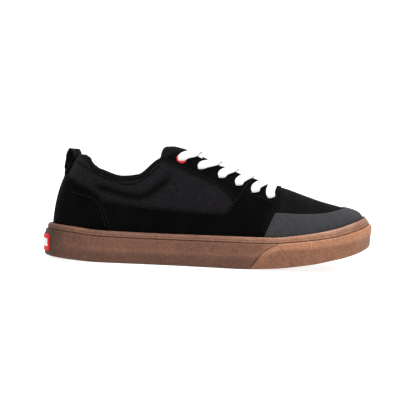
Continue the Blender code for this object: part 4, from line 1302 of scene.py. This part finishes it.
def build_lining():
    """Collar lining from its seam outside, over the rolled edge and down inside."""
    places = np.linspace(-LINING_END, LINING_END, 300)
    stations, setbacks = zip(*LINING_SEAM)
    seam = share_below(places, np.interp(np.abs(places), stations, setbacks))
    rows = []
    gone = smooth_step(*(LINING_SHOWN + fade for fade in LINING_FADE), np.abs(places))
    sunk = LINING_SINK * gone
    for f in LINING_ROWS:
        puff = LINING_PUFF * np.sqrt(np.clip(f / LINING_PUFF_RUN, 0, 1)) - LINING_TUCK * (f == 0.0)
        rows.append(skin(places, seam + (1 - seam) * f, puff - sunk)[0])
    top = np.ones(len(places))
    thickness = wall_thickness(places, top) + LINING_PUFF - sunk
    outer = rows[-1]
    inner = skin(places, top, -thickness)[0]
    edge_middle = (outer + inner) / 2
    half = (outer - inner) / 2
    along = np.gradient(edge_middle, axis=0)
    lift = unit_rows(np.cross(half, along)) * np.linalg.norm(half, axis=1, keepdims=True)
    lift = lift * (1 - LINING_FLAT * gone)[:, None]
    for k in range(1, LINING_TURNS + 1):
        turn = pi * k / LINING_TURNS
        rows.append(edge_middle + half * cos(turn) + lift * sin(turn))
    for share in np.linspace(LINING_HEAD, LINING_FOOT, 34):
        level = np.full(len(places), share)
        rows.append(skin(places, level, -wall_thickness(places, level) - LINING_PUFF + sunk)[0])
    grid = np.stack(rows)
    lining = make_mesh("collar_lining", grid.reshape(-1, 3), sheet_faces(*grid.shape[:2]), LINING,
                       uv=flat_uv(grid))
    thicken(lining, LINING_THICKNESS)
    dress(lining, "canvas")


def build_collar_seam():
    """Fine black welt that follows the collar edge on the canvas of both sides: a seam, drawn dark as
    painted shade for its groove.
    """
    sides = 8
    parts = []
    for side in (-1, 1):
        station, share = edge(side, COLLAR_SEAM)
        points, normals = skin(placed(station, side), share, -COLLAR_SEAM_SINK)
        up = np.cross(unit_rows(np.gradient(points, axis=0)), normals)
        angles = np.arange(sides) * 2 * pi / sides
        rings = [points + (normals * cos(a) + up * sin(a)) * COLLAR_SEAM_HALF for a in angles]
        parts.append((np.stack(rings, axis=1), loop_faces(len(points), sides, closed=False)))
    points, faces = join_parts(parts)
    seam = make_mesh("collar_seam", points, faces, SUEDE, rim=np.full(len(points), FAR_FROM_EDGE))
    dress(seam, "black_suede")


def thicken(piece, thickness):
    """Give an open sheet a back, on its inner side."""
    step = piece.modifiers.new("back", "SOLIDIFY")
    step.thickness = thickness * MM
    step.offset = -1.0


def cut(piece, cutter):
    """Cut lace holes through a piece and keep the result as its mesh."""
    step = piece.modifiers.new("holes", "BOOLEAN")
    step.operation = "DIFFERENCE"
    step.solver = "EXACT"
    step.object = cutter
    graph = bpy.context.evaluated_depsgraph_get()
    made = bpy.data.meshes.new_from_object(piece.evaluated_get(graph), depsgraph=graph)
    piece.modifiers.remove(step)
    old = piece.data
    piece.data = made
    made.name = old.name
    bpy.data.meshes.remove(old)


def panel(name, places, low, high, thickness, finish, ridge=None):
    """Sewn-on piece between two shares of each rib, with rounded cut edges."""
    base_low = last_at(places, low)
    base_high = last_at(places, high)
    run = np.linalg.norm(base_high - base_low, axis=1)
    near = np.array(EDGE_ROWS)
    scale = np.minimum(1.0, 0.45 * run / near[-1])
    rows = [near_row * scale / np.maximum(run, 1e-6) for near_row in near]
    first = rows[-1]
    middle = [first + (1 - 2 * first) * k / (MIDDLE_ROWS + 1) for k in range(1, MIDDLE_ROWS + 1)]
    shares_up = np.stack(rows + middle + [1 - row for row in rows[::-1]])
    share = low + (high - low) * np.clip(shares_up, 0, 1)
    place = np.broadcast_to(places, share.shape)
    base = last_at(place.ravel(), share.ravel())
    shown_low = low > FOOT_SHARE + FOOT_SHOWN
    shown_high = np.ones(len(places), bool) if ridge is None else ~ridge
    away = np.full(len(base), np.inf)
    for line, kept in ((base_low, shown_low), (base_high, shown_high)):
        ids = np.flatnonzero(kept)
        for part in np.split(ids, np.flatnonzero(np.diff(ids) > 1) + 1):
            if len(part) > 1:
                away = np.minimum(away, line_distance(base, line[part])[0])
    corner = np.clip(1 - away / EDGE_ROUND, 0, 1)
    lift = EDGE_FOOT + (thickness - EDGE_FOOT) * np.sqrt(np.maximum(1 - corner**2, 0))
    points = layers(skin(place, share, lift.reshape(place.shape))[0], skin(place, share, BACK_LIFT)[0])
    open_top = None if ridge is None else ridge[:-1] & ridge[1:]
    # The mark is the distance from a cut edge, along which the finishes paint a highlight
    rim = np.minimum(np.tile(away, 2), RIM_LIMIT)
    faces = slab_faces(*place.shape, open_top=open_top)
    return make_mesh(name, points, faces, finish, weld=0.015, rim=rim)


def rising(place, share):
    """An edge with its places made to rise, for reading shares at places."""
    place = np.maximum.accumulate(place)
    return place + np.arange(len(place)) * 1e-7, share


def counter_edge():
    """Counter's edge round the heel, from the medial foot to the lateral foot."""
    sides = {}
    for side in (-1, 1):
        place, share = edge(side, COUNTER_FRONT)
        back = np.linspace(place[-1], 0, 40)[1:]
        station = np.concatenate((place, back))
        back_share = share_on(back if side < 0 else -back, COUNTER_BACK)
        blend = smooth_step(0, COUNTER_BLEND, np.arange(len(back)))
        back_share = back_share * blend + (1 - blend) * (share[-1] + back_share - back_share[0])
        sides[side] = (station, np.concatenate((share, back_share)))
    lateral = (sides[-1][0][::-1], sides[-1][1][::-1])
    medial = (-sides[1][0], sides[1][1])
    place = np.concatenate((medial[0][:-1], lateral[0]))
    share = np.concatenate((medial[1][:-1], lateral[1]))
    return rising(place, share)


def guard_edges():
    """Guard's places from the lateral foot over the toe to the medial foot, with top shares."""
    halves = []
    for side in (-1, 1):
        place, share = rising(*edge(side, GUARD_BACK, GUARD_TOP))
        ahead = np.linspace(place[-1], TOE_STATION, 110)[1:]
        top = share_on(placed(ahead, side), GUARD_RIDGE)
        halves.append((np.concatenate((place, ahead)), np.concatenate((share, top))))
    middle, front = GUARD_STATIONS
    runs = ((halves[0][0][0], middle, 90), (middle, front, 90), (front, TOE_STATION, 70))
    stations = np.unique(np.concatenate([np.linspace(*run) for run in runs]))
    tops = [np.interp(stations, *half) for half in halves]
    lateral, medial = (np.where(stations > GUARD_EVEN, (tops[0] + tops[1]) / 2, top) for top in tops)
    places = np.concatenate((stations, LOOP - stations[-2::-1]))
    return places, np.concatenate((lateral, medial[-2::-1]))


def build_overlays(holes):
    """Heel counter, toe guard, side panels and eyestays, with their stitch rows."""
    rows = []
    place, share = counter_edge()
    places = np.unique(np.concatenate((place[[0, -1]], resample_run(place, share, 0.9))))
    high = np.maximum(np.interp(places, place, share), FOOT_SHARE)
    low = np.full(len(places), FOOT_SHARE)
    lift = LIFTS["heel_counter"]
    counter = panel("heel_counter_suede", places, low, high, lift, SUEDE)
    dress(counter, "black_suede", "heel_counter")
    rows.append((*inset_row(place, share, COUNTER_INSET), lift))
    rows.append((*edge(-1, COUNTER_ROW), lift))

    places, top = guard_edges()
    low = np.full(len(places), FOOT_SHARE)
    high = np.maximum(top, FOOT_SHARE)
    guard = panel("toe_guard_rubber", places, low, high, LIFTS["toe_guard"], TOE_GUARD,
                  ridge=top > GUARD_RIDGE_SHARE)
    dress(guard, "toe_guard_rubber", "toe_guard")

    for side, word in BOTH_SIDES:
        rows += build_side(side, word, holes)
    build_stitches(rows)


def resample_run(place, share, spacing):
    """Places along an edge, evenly spaced by the distance along it on the upper."""
    run = length_along(last_at(place, share))
    return np.interp(np.linspace(0, run[-1], int(run[-1] / spacing)), run, place)


def build_side(side, word, holes):
    """Side panel and eyestay of one side; gives their stitch rows."""
    top = rising(*edge(side, PANEL_TOP))
    back = edge(side, PANEL_BACK)
    front = rising(*edge(side, PANEL_FRONT))
    end = front[0][-1]
    crest = top[0][-1]
    stations = np.unique(np.concatenate((
        np.linspace(top[0][0], back[0].max() + 0.02, 40), resample_run(*top, 1.2),
        resample_run(*front, 0.9), np.linspace(crest, end, 30),
    )))
    stations = stations[(stations >= top[0][0]) & (stations <= end)]
    high = np.where(stations < crest, np.interp(stations, *top), 1.0)
    back_rising = rising(*back)
    low = np.where(stations < back_rising[0][-1], np.interp(stations, *back_rising), FOOT_SHARE)
    low = np.where(stations > front[0][0], np.interp(stations, *front), low)
    low = np.clip(low, FOOT_SHARE, high)
    side_piece("side_panel", word, stations, low, high, side, holes)

    stay_low = rising(*edge(side, STAY_LOW, STAY_FRONT))
    stations = np.unique(np.concatenate((resample_run(*stay_low, 1.0), stay_low[0][[0, -1]])))
    low = np.interp(stations, *stay_low)
    seam_stations, setbacks = zip(*LINING_SEAM)
    setback = np.interp(stations, seam_stations, setbacks) - LINING_OVER_STAY
    seam = share_below(placed(stations, side), setback)
    high = np.where(stations < LINING_SHOWN, seam, 1.0)
    side_piece("eyestay", word, stations, np.minimum(low, high), high, side, holes)

    low_stay = edge(side, STAY_LOW)
    front = edge(side, PANEL_FRONT[1:-1])
    stitched = [(low_stay, distance, "eyestay") for distance in STAY_INSETS]
    stitched.append((edge(side, PANEL_TOP[:-1]), PANEL_TOP_INSET, "side_panel"))
    stitched += [(front, distance, "side_panel") for distance in PANEL_FRONT_INSETS]
    rows = []
    for (station, share), distance, kind in stitched:
        rows.append((*inset_row(placed(station, side), share, distance * -side), LIFTS[kind]))
    station, share = edge(side, PANEL_ROW)
    rows.append((placed(station, side), share, LIFTS["side_panel"]))
    return rows


def side_piece(kind, word, stations, low, high, side, holes):
    """Sewn-on piece of one side with its lace holes, listed so that its faces turn outward."""
    places = placed(stations, side)
    if side > 0:
        places, low, high = places[::-1], low[::-1], high[::-1]
    piece = panel(f"{kind}_{word}_suede", places, low, high, LIFTS[kind], SUEDE)
    cut(piece, holes)
    dress(piece, "black_suede", f"{kind}_{word}")


def build_stitches(rows):
    """Every stitch row as one joined piece."""
    parts = []
    angles = np.arange(STITCH_SIDES) * 2 * pi / STITCH_SIDES
    faces = loop_faces(len(STITCH_FORM), STITCH_SIDES, closed=False)
    for place, share, lift in rows:
        points, normals = skin(place, share, lift + STITCH_LIFT)
        run = length_along(points)
        shown = points[:, 2] > sole_height("rim", points[:, 0]) - STITCH_BELOW
        for centre in np.arange(STITCH_PITCH, run[-1] - STITCH_LENGTH / 2, STITCH_PITCH):
            k = min(int(np.searchsorted(run, centre)), len(run) - 1)
            if not shown[k]:
                continue
            at = read_rows(centre, run, points)[0]
            normal = normals[k]
            along = unit_rows(points[k] - points[k - 1])
            across = np.cross(normal, along)
            circle = across * np.cos(angles)[:, None] + normal * np.sin(angles)[:, None]
            solid = []
            for where, wide in STITCH_FORM:
                rise = STITCH_RADIUS * STITCH_ARCH * (1 - (2 * where) ** 2) - STITCH_DEPTH
                middle = at + along * STITCH_LENGTH * where + normal * rise
                solid.append(middle + circle * STITCH_RADIUS * wide)
            parts.append((np.vstack(solid), faces))
    points, faces = join_parts(parts)
    dress(make_mesh("stitching", points, faces, THREAD), "black_suede")


def eyelet_stations():
    """Stations whose ribs carry the lace holes."""
    stations = np.linspace(*EYELET_STATIONS, 80)
    found = []
    for x, setback in zip(EYELET_X, EYELET_SETBACKS):
        xs = last_at(stations, share_below(stations, setback))[:, 0]
        found.append(float(np.interp(x, xs, stations)))
    return found


def spot(station, side, setback, lift):
    """Point on one side at a distance below the throat edge, lifted off the upper, and its normal."""
    place = np.array([placed(station, side)])
    point, normal = skin(place, share_below(place, setback), lift)
    return point[0], normal[0]


def ring_points(centre, axis, radius, height, sides):
    """Circle of points about an axis."""
    across = unit_rows(np.cross(axis, (1.0, 0.0, 0.0)))
    turned = np.cross(axis, across)
    angles = np.arange(sides) * 2 * pi / sides
    circle = across * np.cos(angles)[:, None] + turned * np.sin(angles)[:, None]
    return centre + axis * height + circle * radius


def hole_cutter(stations):
    """Plugs through every lace hole, as one hidden object."""
    parts = []
    ends = range(HOLE_SIDES)
    faces = loop_faces(2, HOLE_SIDES, closed=False)
    faces += [tuple(ends[::-1]), tuple(HOLE_SIDES + i for i in ends)]
    for side in (-1, 1):
        for station, setback in zip(stations, EYELET_SETBACKS):
            hole = spot(station, side, setback, 0.0)
            rings = [ring_points(*hole, EYELET_RADIUS, height, HOLE_SIDES) for height in HOLE_HEIGHTS]
            parts.append((np.vstack(rings), faces))
    return make_mesh("hole_plugs", *join_parts(parts), THREAD)


def build_rings(station):
    """Enamelled ring round the top lace hole on each side."""
    middle = (EYELET_RADIUS + RING_RADIUS) / 2
    half = (RING_RADIUS - EYELET_RADIUS) / 2
    crown = []
    for turn in pi * np.arange(1, 10) / 10:
        crown.append((middle - half * cos(turn), RING_SHOULDER + (RING_HEIGHT - RING_SHOULDER) * sin(turn)))
    profile = (*RING_INNER, *crown, *RING_OUTER)
    faces = loop_faces(len(profile), RING_SIDES)
    for side, word in BOTH_SIDES:
        seat = spot(station, side, EYELET_SETBACKS[0], LIFTS["eyestay"])
        rings = [ring_points(*seat, radius, height, RING_SIDES) for radius, height in profile]
        piece = make_mesh(f"eyelet_ring_{word}_red", np.vstack(rings), faces, RED_ENAMEL)
        dress(piece, "red_enamel", f"eyelet_ring_{word}")


def tongue_section(station):
    """Points across the tongue's top face, from its lateral edge to its medial edge."""
    stations, _, fullness = zip(*TONGUE_SECTIONS)
    depth = WALL + float(station_column("pad", station)) + TONGUE_CLEAR
    halves = []
    for side in (-1, 1):
        place = np.full(len(TONGUE_OVERLAP), placed(station, side))
        share = share_below(place, np.array(TONGUE_OVERLAP))
        points = last_at(place, share)
        normals = side_normal(place, share)
        lower = last_at(place[-1:], share[-1:] - 0.02)[0]
        halves.append(points - normals * depth)
        halves.append(unit_rows(points[-1] - lower))
    lateral, lateral_up, medial, medial_up = halves
    swell = np.linalg.norm(medial[-1] - lateral[-1]) * np.interp(station, stations, fullness)
    hull = (lateral[-1], lateral[-1] + lateral_up * swell, medial[-1] + medial_up * swell, medial[-1])
    arch = [cubic(hull, share) for share in TONGUE_ARCH]
    return np.vstack((lateral, arch, medial[::-1]))


def build_tongue():
    """Padded tongue with a rounded edge and a soft channel down each side."""
    bases, thicknesses, _ = zip(*TONGUE_SECTIONS)
    stations = np.linspace(bases[0], bases[-1], 60)
    sections = [smooth_path(tongue_section(s), 41) for s in stations]
    thickness = [float(np.interp(s, bases, thicknesses)) for s in stations]
    first = sections[0]
    full = thickness[0]
    for turn in np.linspace(0, pi / 2, 9)[1:]:
        back = TONGUE_NOSE[0] * sin(turn) ** TONGUE_NOSE_POWERS[0]
        drop = TONGUE_NOSE[1] * (1 - cos(turn)) ** TONGUE_NOSE_POWERS[1]
        sections.insert(0, first - np.array((back, 0.0, drop)))
        thickness.insert(0, full * max(cos(turn), TONGUE_NOSE_THIN))
    last = sections[-1]
    for move in TONGUE_FRONT_STEPS:
        sections.append(last + np.array(TONGUE_FRONT) * move)
        thickness.append(TONGUE_FRONT_THICKNESS)
    outer = np.stack(sections)
    rows, columns = outer.shape[:2]
    normals = unit_rows(np.cross(np.gradient(outer, axis=0), np.gradient(outer, axis=1)))
    aside = np.abs(np.linspace(-1, 1, columns))
    edge_fall = np.sqrt(np.maximum(1 - aside**TONGUE_ROUND, 0.02))
    depth, centre, width = TONGUE_CHANNEL
    channel = depth * np.exp(-(((aside - centre) / width) ** 2))
    outer = outer - normals * channel[None, :, None]
    inner = outer - normals * (np.array(thickness)[:, None] * edge_fall[None, :])[..., None]
    faces = [f[::-1] for f in slab_faces(rows, columns)]
    tongue = make_mesh("tongue_cloth", layers(outer, inner), faces, TONGUE_CLOTH,
                       uv=np.tile(flat_uv(outer), (2, 1)), weld=0.01)
    dress(tongue, "tongue_cloth", "tongue")


def over_tongue(station, across, lift):
    """Point over the tongue; across runs from the crown to a throat edge."""
    section = tongue_section(station)
    crown = len(section) // 2
    step = 1 if across > 0 else -1
    toward = section[crown + step]
    beyond = section[crown + 2 * step]
    away = abs(across) * 2
    point = section[crown] + (toward - section[crown]) * min(away, 1)
    point = point + (beyond - toward) * max(away - 1, 0)
    up = unit_rows(np.array((1.0, across, 1.0)) * LACE_FACING)
    return point + up * lift, up


def relaxed_path(points, count):
    """Points at even distances along a polyline whose corners are eased."""
    points = np.asarray(points, float)
    run = length_along(points)
    path = read_rows(np.linspace(0, run[-1], count), run, points)
    for _ in range(10):
        path[1:-1] = (path[:-2] + 2 * path[1:-1] + path[2:]) / 4
    return path


def lace_band(route, tips):
    """Flat band along points with the way its flat side faces; tips tells which ends fold into a hole."""
    points, ups = (np.array(column) for column in zip(*route))
    marks = length_along(points) / length_along(points)[-1]
    path = relaxed_path(points, LACE_STEPS)
    along = unit_rows(np.gradient(path, axis=0))
    across = unit_rows(np.cross(np.gradient(points, axis=0), ups))
    across = read_rows(np.linspace(0, 1, LACE_STEPS), marks, across)
    across = unit_rows(across - along * np.sum(across * along, axis=1, keepdims=True))
    high = np.cross(across, along)
    run = length_along(path)
    width = np.full(LACE_STEPS, LACE_WIDTH)
    for tip, away in zip(tips, (run, run[-1] - run)):
        if tip:
            spread = smooth_step(*LACE_SPREAD, away)
            width = np.minimum(width, LACE_TIP_WIDTH + (LACE_WIDTH - LACE_TIP_WIDTH) * spread)
    angles = np.arange(LACE_SIDES) * 2 * pi / LACE_SIDES
    waves = zip((np.cos(angles), np.sin(angles)), LACE_ROUND)
    wide, tall = (np.sign(wave) * np.abs(wave) ** power / 2 for wave, power in waves)
    tall = tall * LACE_THICKNESS
    rings = path[:, None] + across[:, None] * (wide[None, :] * width[:, None])[..., None]
    rings = rings + high[:, None] * np.broadcast_to(tall, (LACE_STEPS, LACE_SIDES))[..., None]
    faces = loop_faces(LACE_STEPS, LACE_SIDES, closed=False)
    faces.append(tuple(range(LACE_SIDES - 1, -1, -1)))
    faces.append(tuple(range((LACE_STEPS - 1) * LACE_SIDES, LACE_STEPS * LACE_SIDES)))
    faces = [f[::-1] for f in faces]
    round_it = np.column_stack((wide * LACE_WIDTH, tall))
    section = length_along(np.vstack((round_it, round_it[:1])))
    uv = np.stack((np.repeat(run, LACE_SIDES), np.tile(section[:-1] - section[-1] / 4, LACE_STEPS)), axis=1)
    return rings.reshape(-1, 3), faces, uv


def add_lace_piece(name, bands, *nodes):
    """One piece of lace from its bands."""
    points, faces = join_parts([(p, f) for p, f, _ in bands])
    uv = np.vstack([u for _, _, u in bands])
    dress(make_mesh(name, points, faces, LACE, uv=uv), "white_lace", *nodes)


def hole_route(hole, side, lean, ring, stay):
    """Route of a strand out of its hole, folded over its lower edge and up to the throat edge."""
    station, setback = hole
    half = LACE_THICKNESS / 2
    inside, normal = spot(station, side, setback, LACE_INSIDE)
    lower, bent, over = (
        spot(station, side, setback + below, stay + on_ring * ring + on_half * half + lift)[0]
        for below, on_ring, on_half, lift in LACE_FOLD
    )
    above, _ = spot(station, side, setback - LACE_AIM, 0.0)
    down = unit_rows(spot(station, side, setback, 0.0)[0] - above)
    route = [(inside, down), (lower, down), (bent, unit_rows(down + normal)), (over, normal)]
    for share, advance in LACE_CLIMB:
        lift = stay + half + LACE_REST + LACE_ON_RING * ring * share
        route.append(spot(station + advance * lean, side, share * setback, lift))
    return route


def build_lace(stations):
    """Criss-crossed lace through the holes, and the straight bar at the front."""
    half = LACE_THICKNESS / 2
    for k, (here, after) in enumerate(zip(stations, stations[1:])):
        step = after - here
        ring = RING_HEIGHT * LACE_RING_SHARE if k == 0 else 0.0
        stay = LIFTS["eyestay" if k < STAY_HOLES else "side_panel"]
        lean = LACE_LEANS[k] * step
        crown_at = here + LACE_CROWNS[k] * step
        far_at = here + LACE_FARS[k] * step
        stops = ((here + lean + crown_at) / 2, crown_at, (crown_at + far_at) / 2, far_at)
        bands = []
        for side, raised in ((-1, LACE_THICKNESS * LACE_UPPER_LIFT), (1, 0.0)):
            route = hole_route((here, EYELET_SETBACKS[k]), side, lean, ring, stay)
            for at, (across, clear, share) in zip(stops, LACE_OVER):
                route.append(over_tongue(at, across * side, half + clear + share * raised))
            for way, setback, depth in LACE_TUCK:
                route.append(spot(here + way * step, -side, setback, -WALL - half - depth))
            bands.append(lace_band(route, (True, False)))
        add_lace_piece(f"lace_row_{k + 1}", bands, f"lace_cross_{k + 1}")
    hole = (stations[-1], EYELET_SETBACKS[-1])
    climbs = [hole_route(hole, side, FRONT_LEAN, 0.0, LIFTS["side_panel"]) for side in (-1, 1)]
    middle = [over_tongue(hole[0] + FRONT_LEAN, across, half + FRONT_CLEAR) for across in FRONT_ACROSS]
    bar = lace_band(climbs[0] + middle + climbs[1][::-1], (True, True))
    add_lace_piece("lace_row_front", [bar], "lace_bar")


def turned_loop(x, y, z):
    """Points of the loop after its upper part has turned a little and leaned forward."""
    grown = smooth_step(*LOOP_TURN_HEIGHTS, z)
    turn = radians(LOOP_TURN)
    away = x - LOOP_MIDDLE
    turned_x = LOOP_MIDDLE + LOOP_LEAN + away * LOOP_NARROW * cos(turn) + y * sin(turn)
    turned_y = y * cos(turn) - away * LOOP_NARROW * sin(turn)
    return np.column_stack((x + grown * (turned_x - x), y + grown * (turned_y - y), z))


def build_loop():
    """Webbing pull loop at the back of the collar."""
    count = len(LOOP_PATH)
    places = np.linspace(0, count, 120, endpoint=False)
    path = closed_spline(LOOP_PATH, places)
    along = unit_rows(np.roll(path, -1, axis=0) - np.roll(path, 1, axis=0))
    normal = np.stack((along[:, 1], -along[:, 0]), axis=1)
    half = LOOP_WIDTH / 2
    flat = half - LOOP_EDGE[0][0]
    section = [(y, LOOP_EDGE[0][1]) for y in np.linspace(-flat, flat, 21)]
    section += [(half - inset, face) for inset, face in LOOP_EDGE[1:]]
    section += [(-y, -face) for y, face in section]
    rings = []
    uvs = []
    run = length_along(np.vstack((path, path[:1])))[:-1]
    for y, face in section:
        edge_path = path + normal * LOOP_THICKNESS * face
        bend = y * y / (2 * LOOP_BEND_RADIUS)
        rings.append(turned_loop(edge_path[:, 0] + bend, y, edge_path[:, 1]))
        uvs.append(np.column_stack((run, np.full(len(path), y))))
    foot_places = np.linspace(-LOOP_FOOT_RUN, LOOP_FOOT_RUN, 40)
    ends = [share_on(foot_places, ((-200.0, z), (0.0, z))) for z in LOOP_FOOT_HEIGHTS]
    shares = ends[0] + (ends[1] - ends[0]) * np.linspace(0, 1, 24)[:, None]
    foot_places = np.broadcast_to(foot_places, shares.shape)
    rise = np.linspace(*LOOP_FOOT_LIFTS, 9)
    lift = np.concatenate((rise, np.full(15, LOOP_FOOT_LIFTS[1])))[:, None]
    lift = lift * np.ones(shares.shape)
    lift[:, [0, -1]] *= LOOP_FOOT_SIDE
    outer = skin(foot_places, shares, lift)[0]
    inner = skin(foot_places, shares, LOOP_FOOT_BACK)[0]
    uvs += [flat_uv(outer), flat_uv(outer)]
    parts = (
        (np.vstack(rings), loop_faces(len(rings), len(path))),
        (layers(outer, inner), slab_faces(*shares.shape)),
    )
    loop = make_mesh("pull_loop_webbing", *join_parts(parts), WEBBING, uv=np.vstack(uvs))
    dress(loop, "black_webbing", "pull_loop")


def build_stage():
    """Pale sweep, soft lights and the camera."""
    floor = Finish("pale_floor", grey(0.4), 0.9, Emission_Strength=0.85, Emission_Color=grey(1.0))
    profile = [(SWEEP_FRONT, 0.0), (0.0, 0.0), (SWEEP_START, 0.0)]
    for k in range(1, SWEEP_STEPS + 1):
        turn = pi / 2 * k / SWEEP_STEPS
        profile.append((SWEEP_START + SWEEP_RADIUS * sin(turn), SWEEP_RADIUS * (1 - cos(turn))))
    profile.append((SWEEP_START + SWEEP_RADIUS, SWEEP_TOP))
    points = [(x, y, z) for x in (-SWEEP_HALF, SWEEP_HALF) for y, z in profile]
    faces = [f[::-1] for f in sheet_faces(2, len(profile))]
    sweep = make_mesh("sweep", np.array(points) / MM, faces, floor.material)

    world = bpy.data.worlds.new("studio")
    bpy.context.scene.world = world
    world.use_nodes = True
    background = world.node_tree.nodes["Background"]
    background.inputs["Color"].default_value = (1.0, 1.0, 1.0, 1.0)
    background.inputs["Strength"].default_value = WORLD_LIGHT
    for name, spot_at, aim, size, power in LIGHTS:
        data = bpy.data.lights.new(name, "AREA")
        data.size = size
        data.energy = power
        lamp = bpy.data.objects.new(name, data)
        lamp.location = spot_at
        lamp.rotation_euler = (Vector(aim) - Vector(spot_at)).to_track_quat("-Z", "Y").to_euler()
        bpy.context.scene.collection.objects.link(lamp)

    elevation = radians(CAMERA_ELEVATION)
    roll = radians(CAMERA_ROLL)
    view = Vector((0.0, cos(elevation), -sin(elevation)))
    right = Vector((1.0, 0.0, 0.0))
    up = Vector((0.0, sin(elevation), cos(elevation)))
    turned_right = right * cos(roll) + up * sin(roll)
    turned_up = up * cos(roll) - right * sin(roll)
    data = bpy.data.cameras.new("camera")
    data.lens = CAMERA_LENS
    data.sensor_width = CAMERA_SENSOR
    data.clip_end = CAMERA_CLIP
    camera = bpy.data.objects.new("camera", data)
    turn = Matrix((turned_right, turned_up, -view)).transposed().to_4x4()
    camera.matrix_world = Matrix.Translation(Vector(CAMERA_AIM) - view * CAMERA_DISTANCE) @ turn
    bpy.context.scene.collection.objects.link(camera)
    bpy.context.scene.camera = camera
    bpy.context.scene.view_settings.view_transform = "Standard"


def main():
    build_stage()
    stations = eyelet_stations()
    plugs = hole_cutter(stations)
    build_sole()
    build_insole()
    build_upper(plugs)
    build_overlays(plugs)
    bpy.data.objects.remove(plugs)
    build_rings(stations[0])
    build_tongue()
    build_lace(stations)
    build_loop()


main()
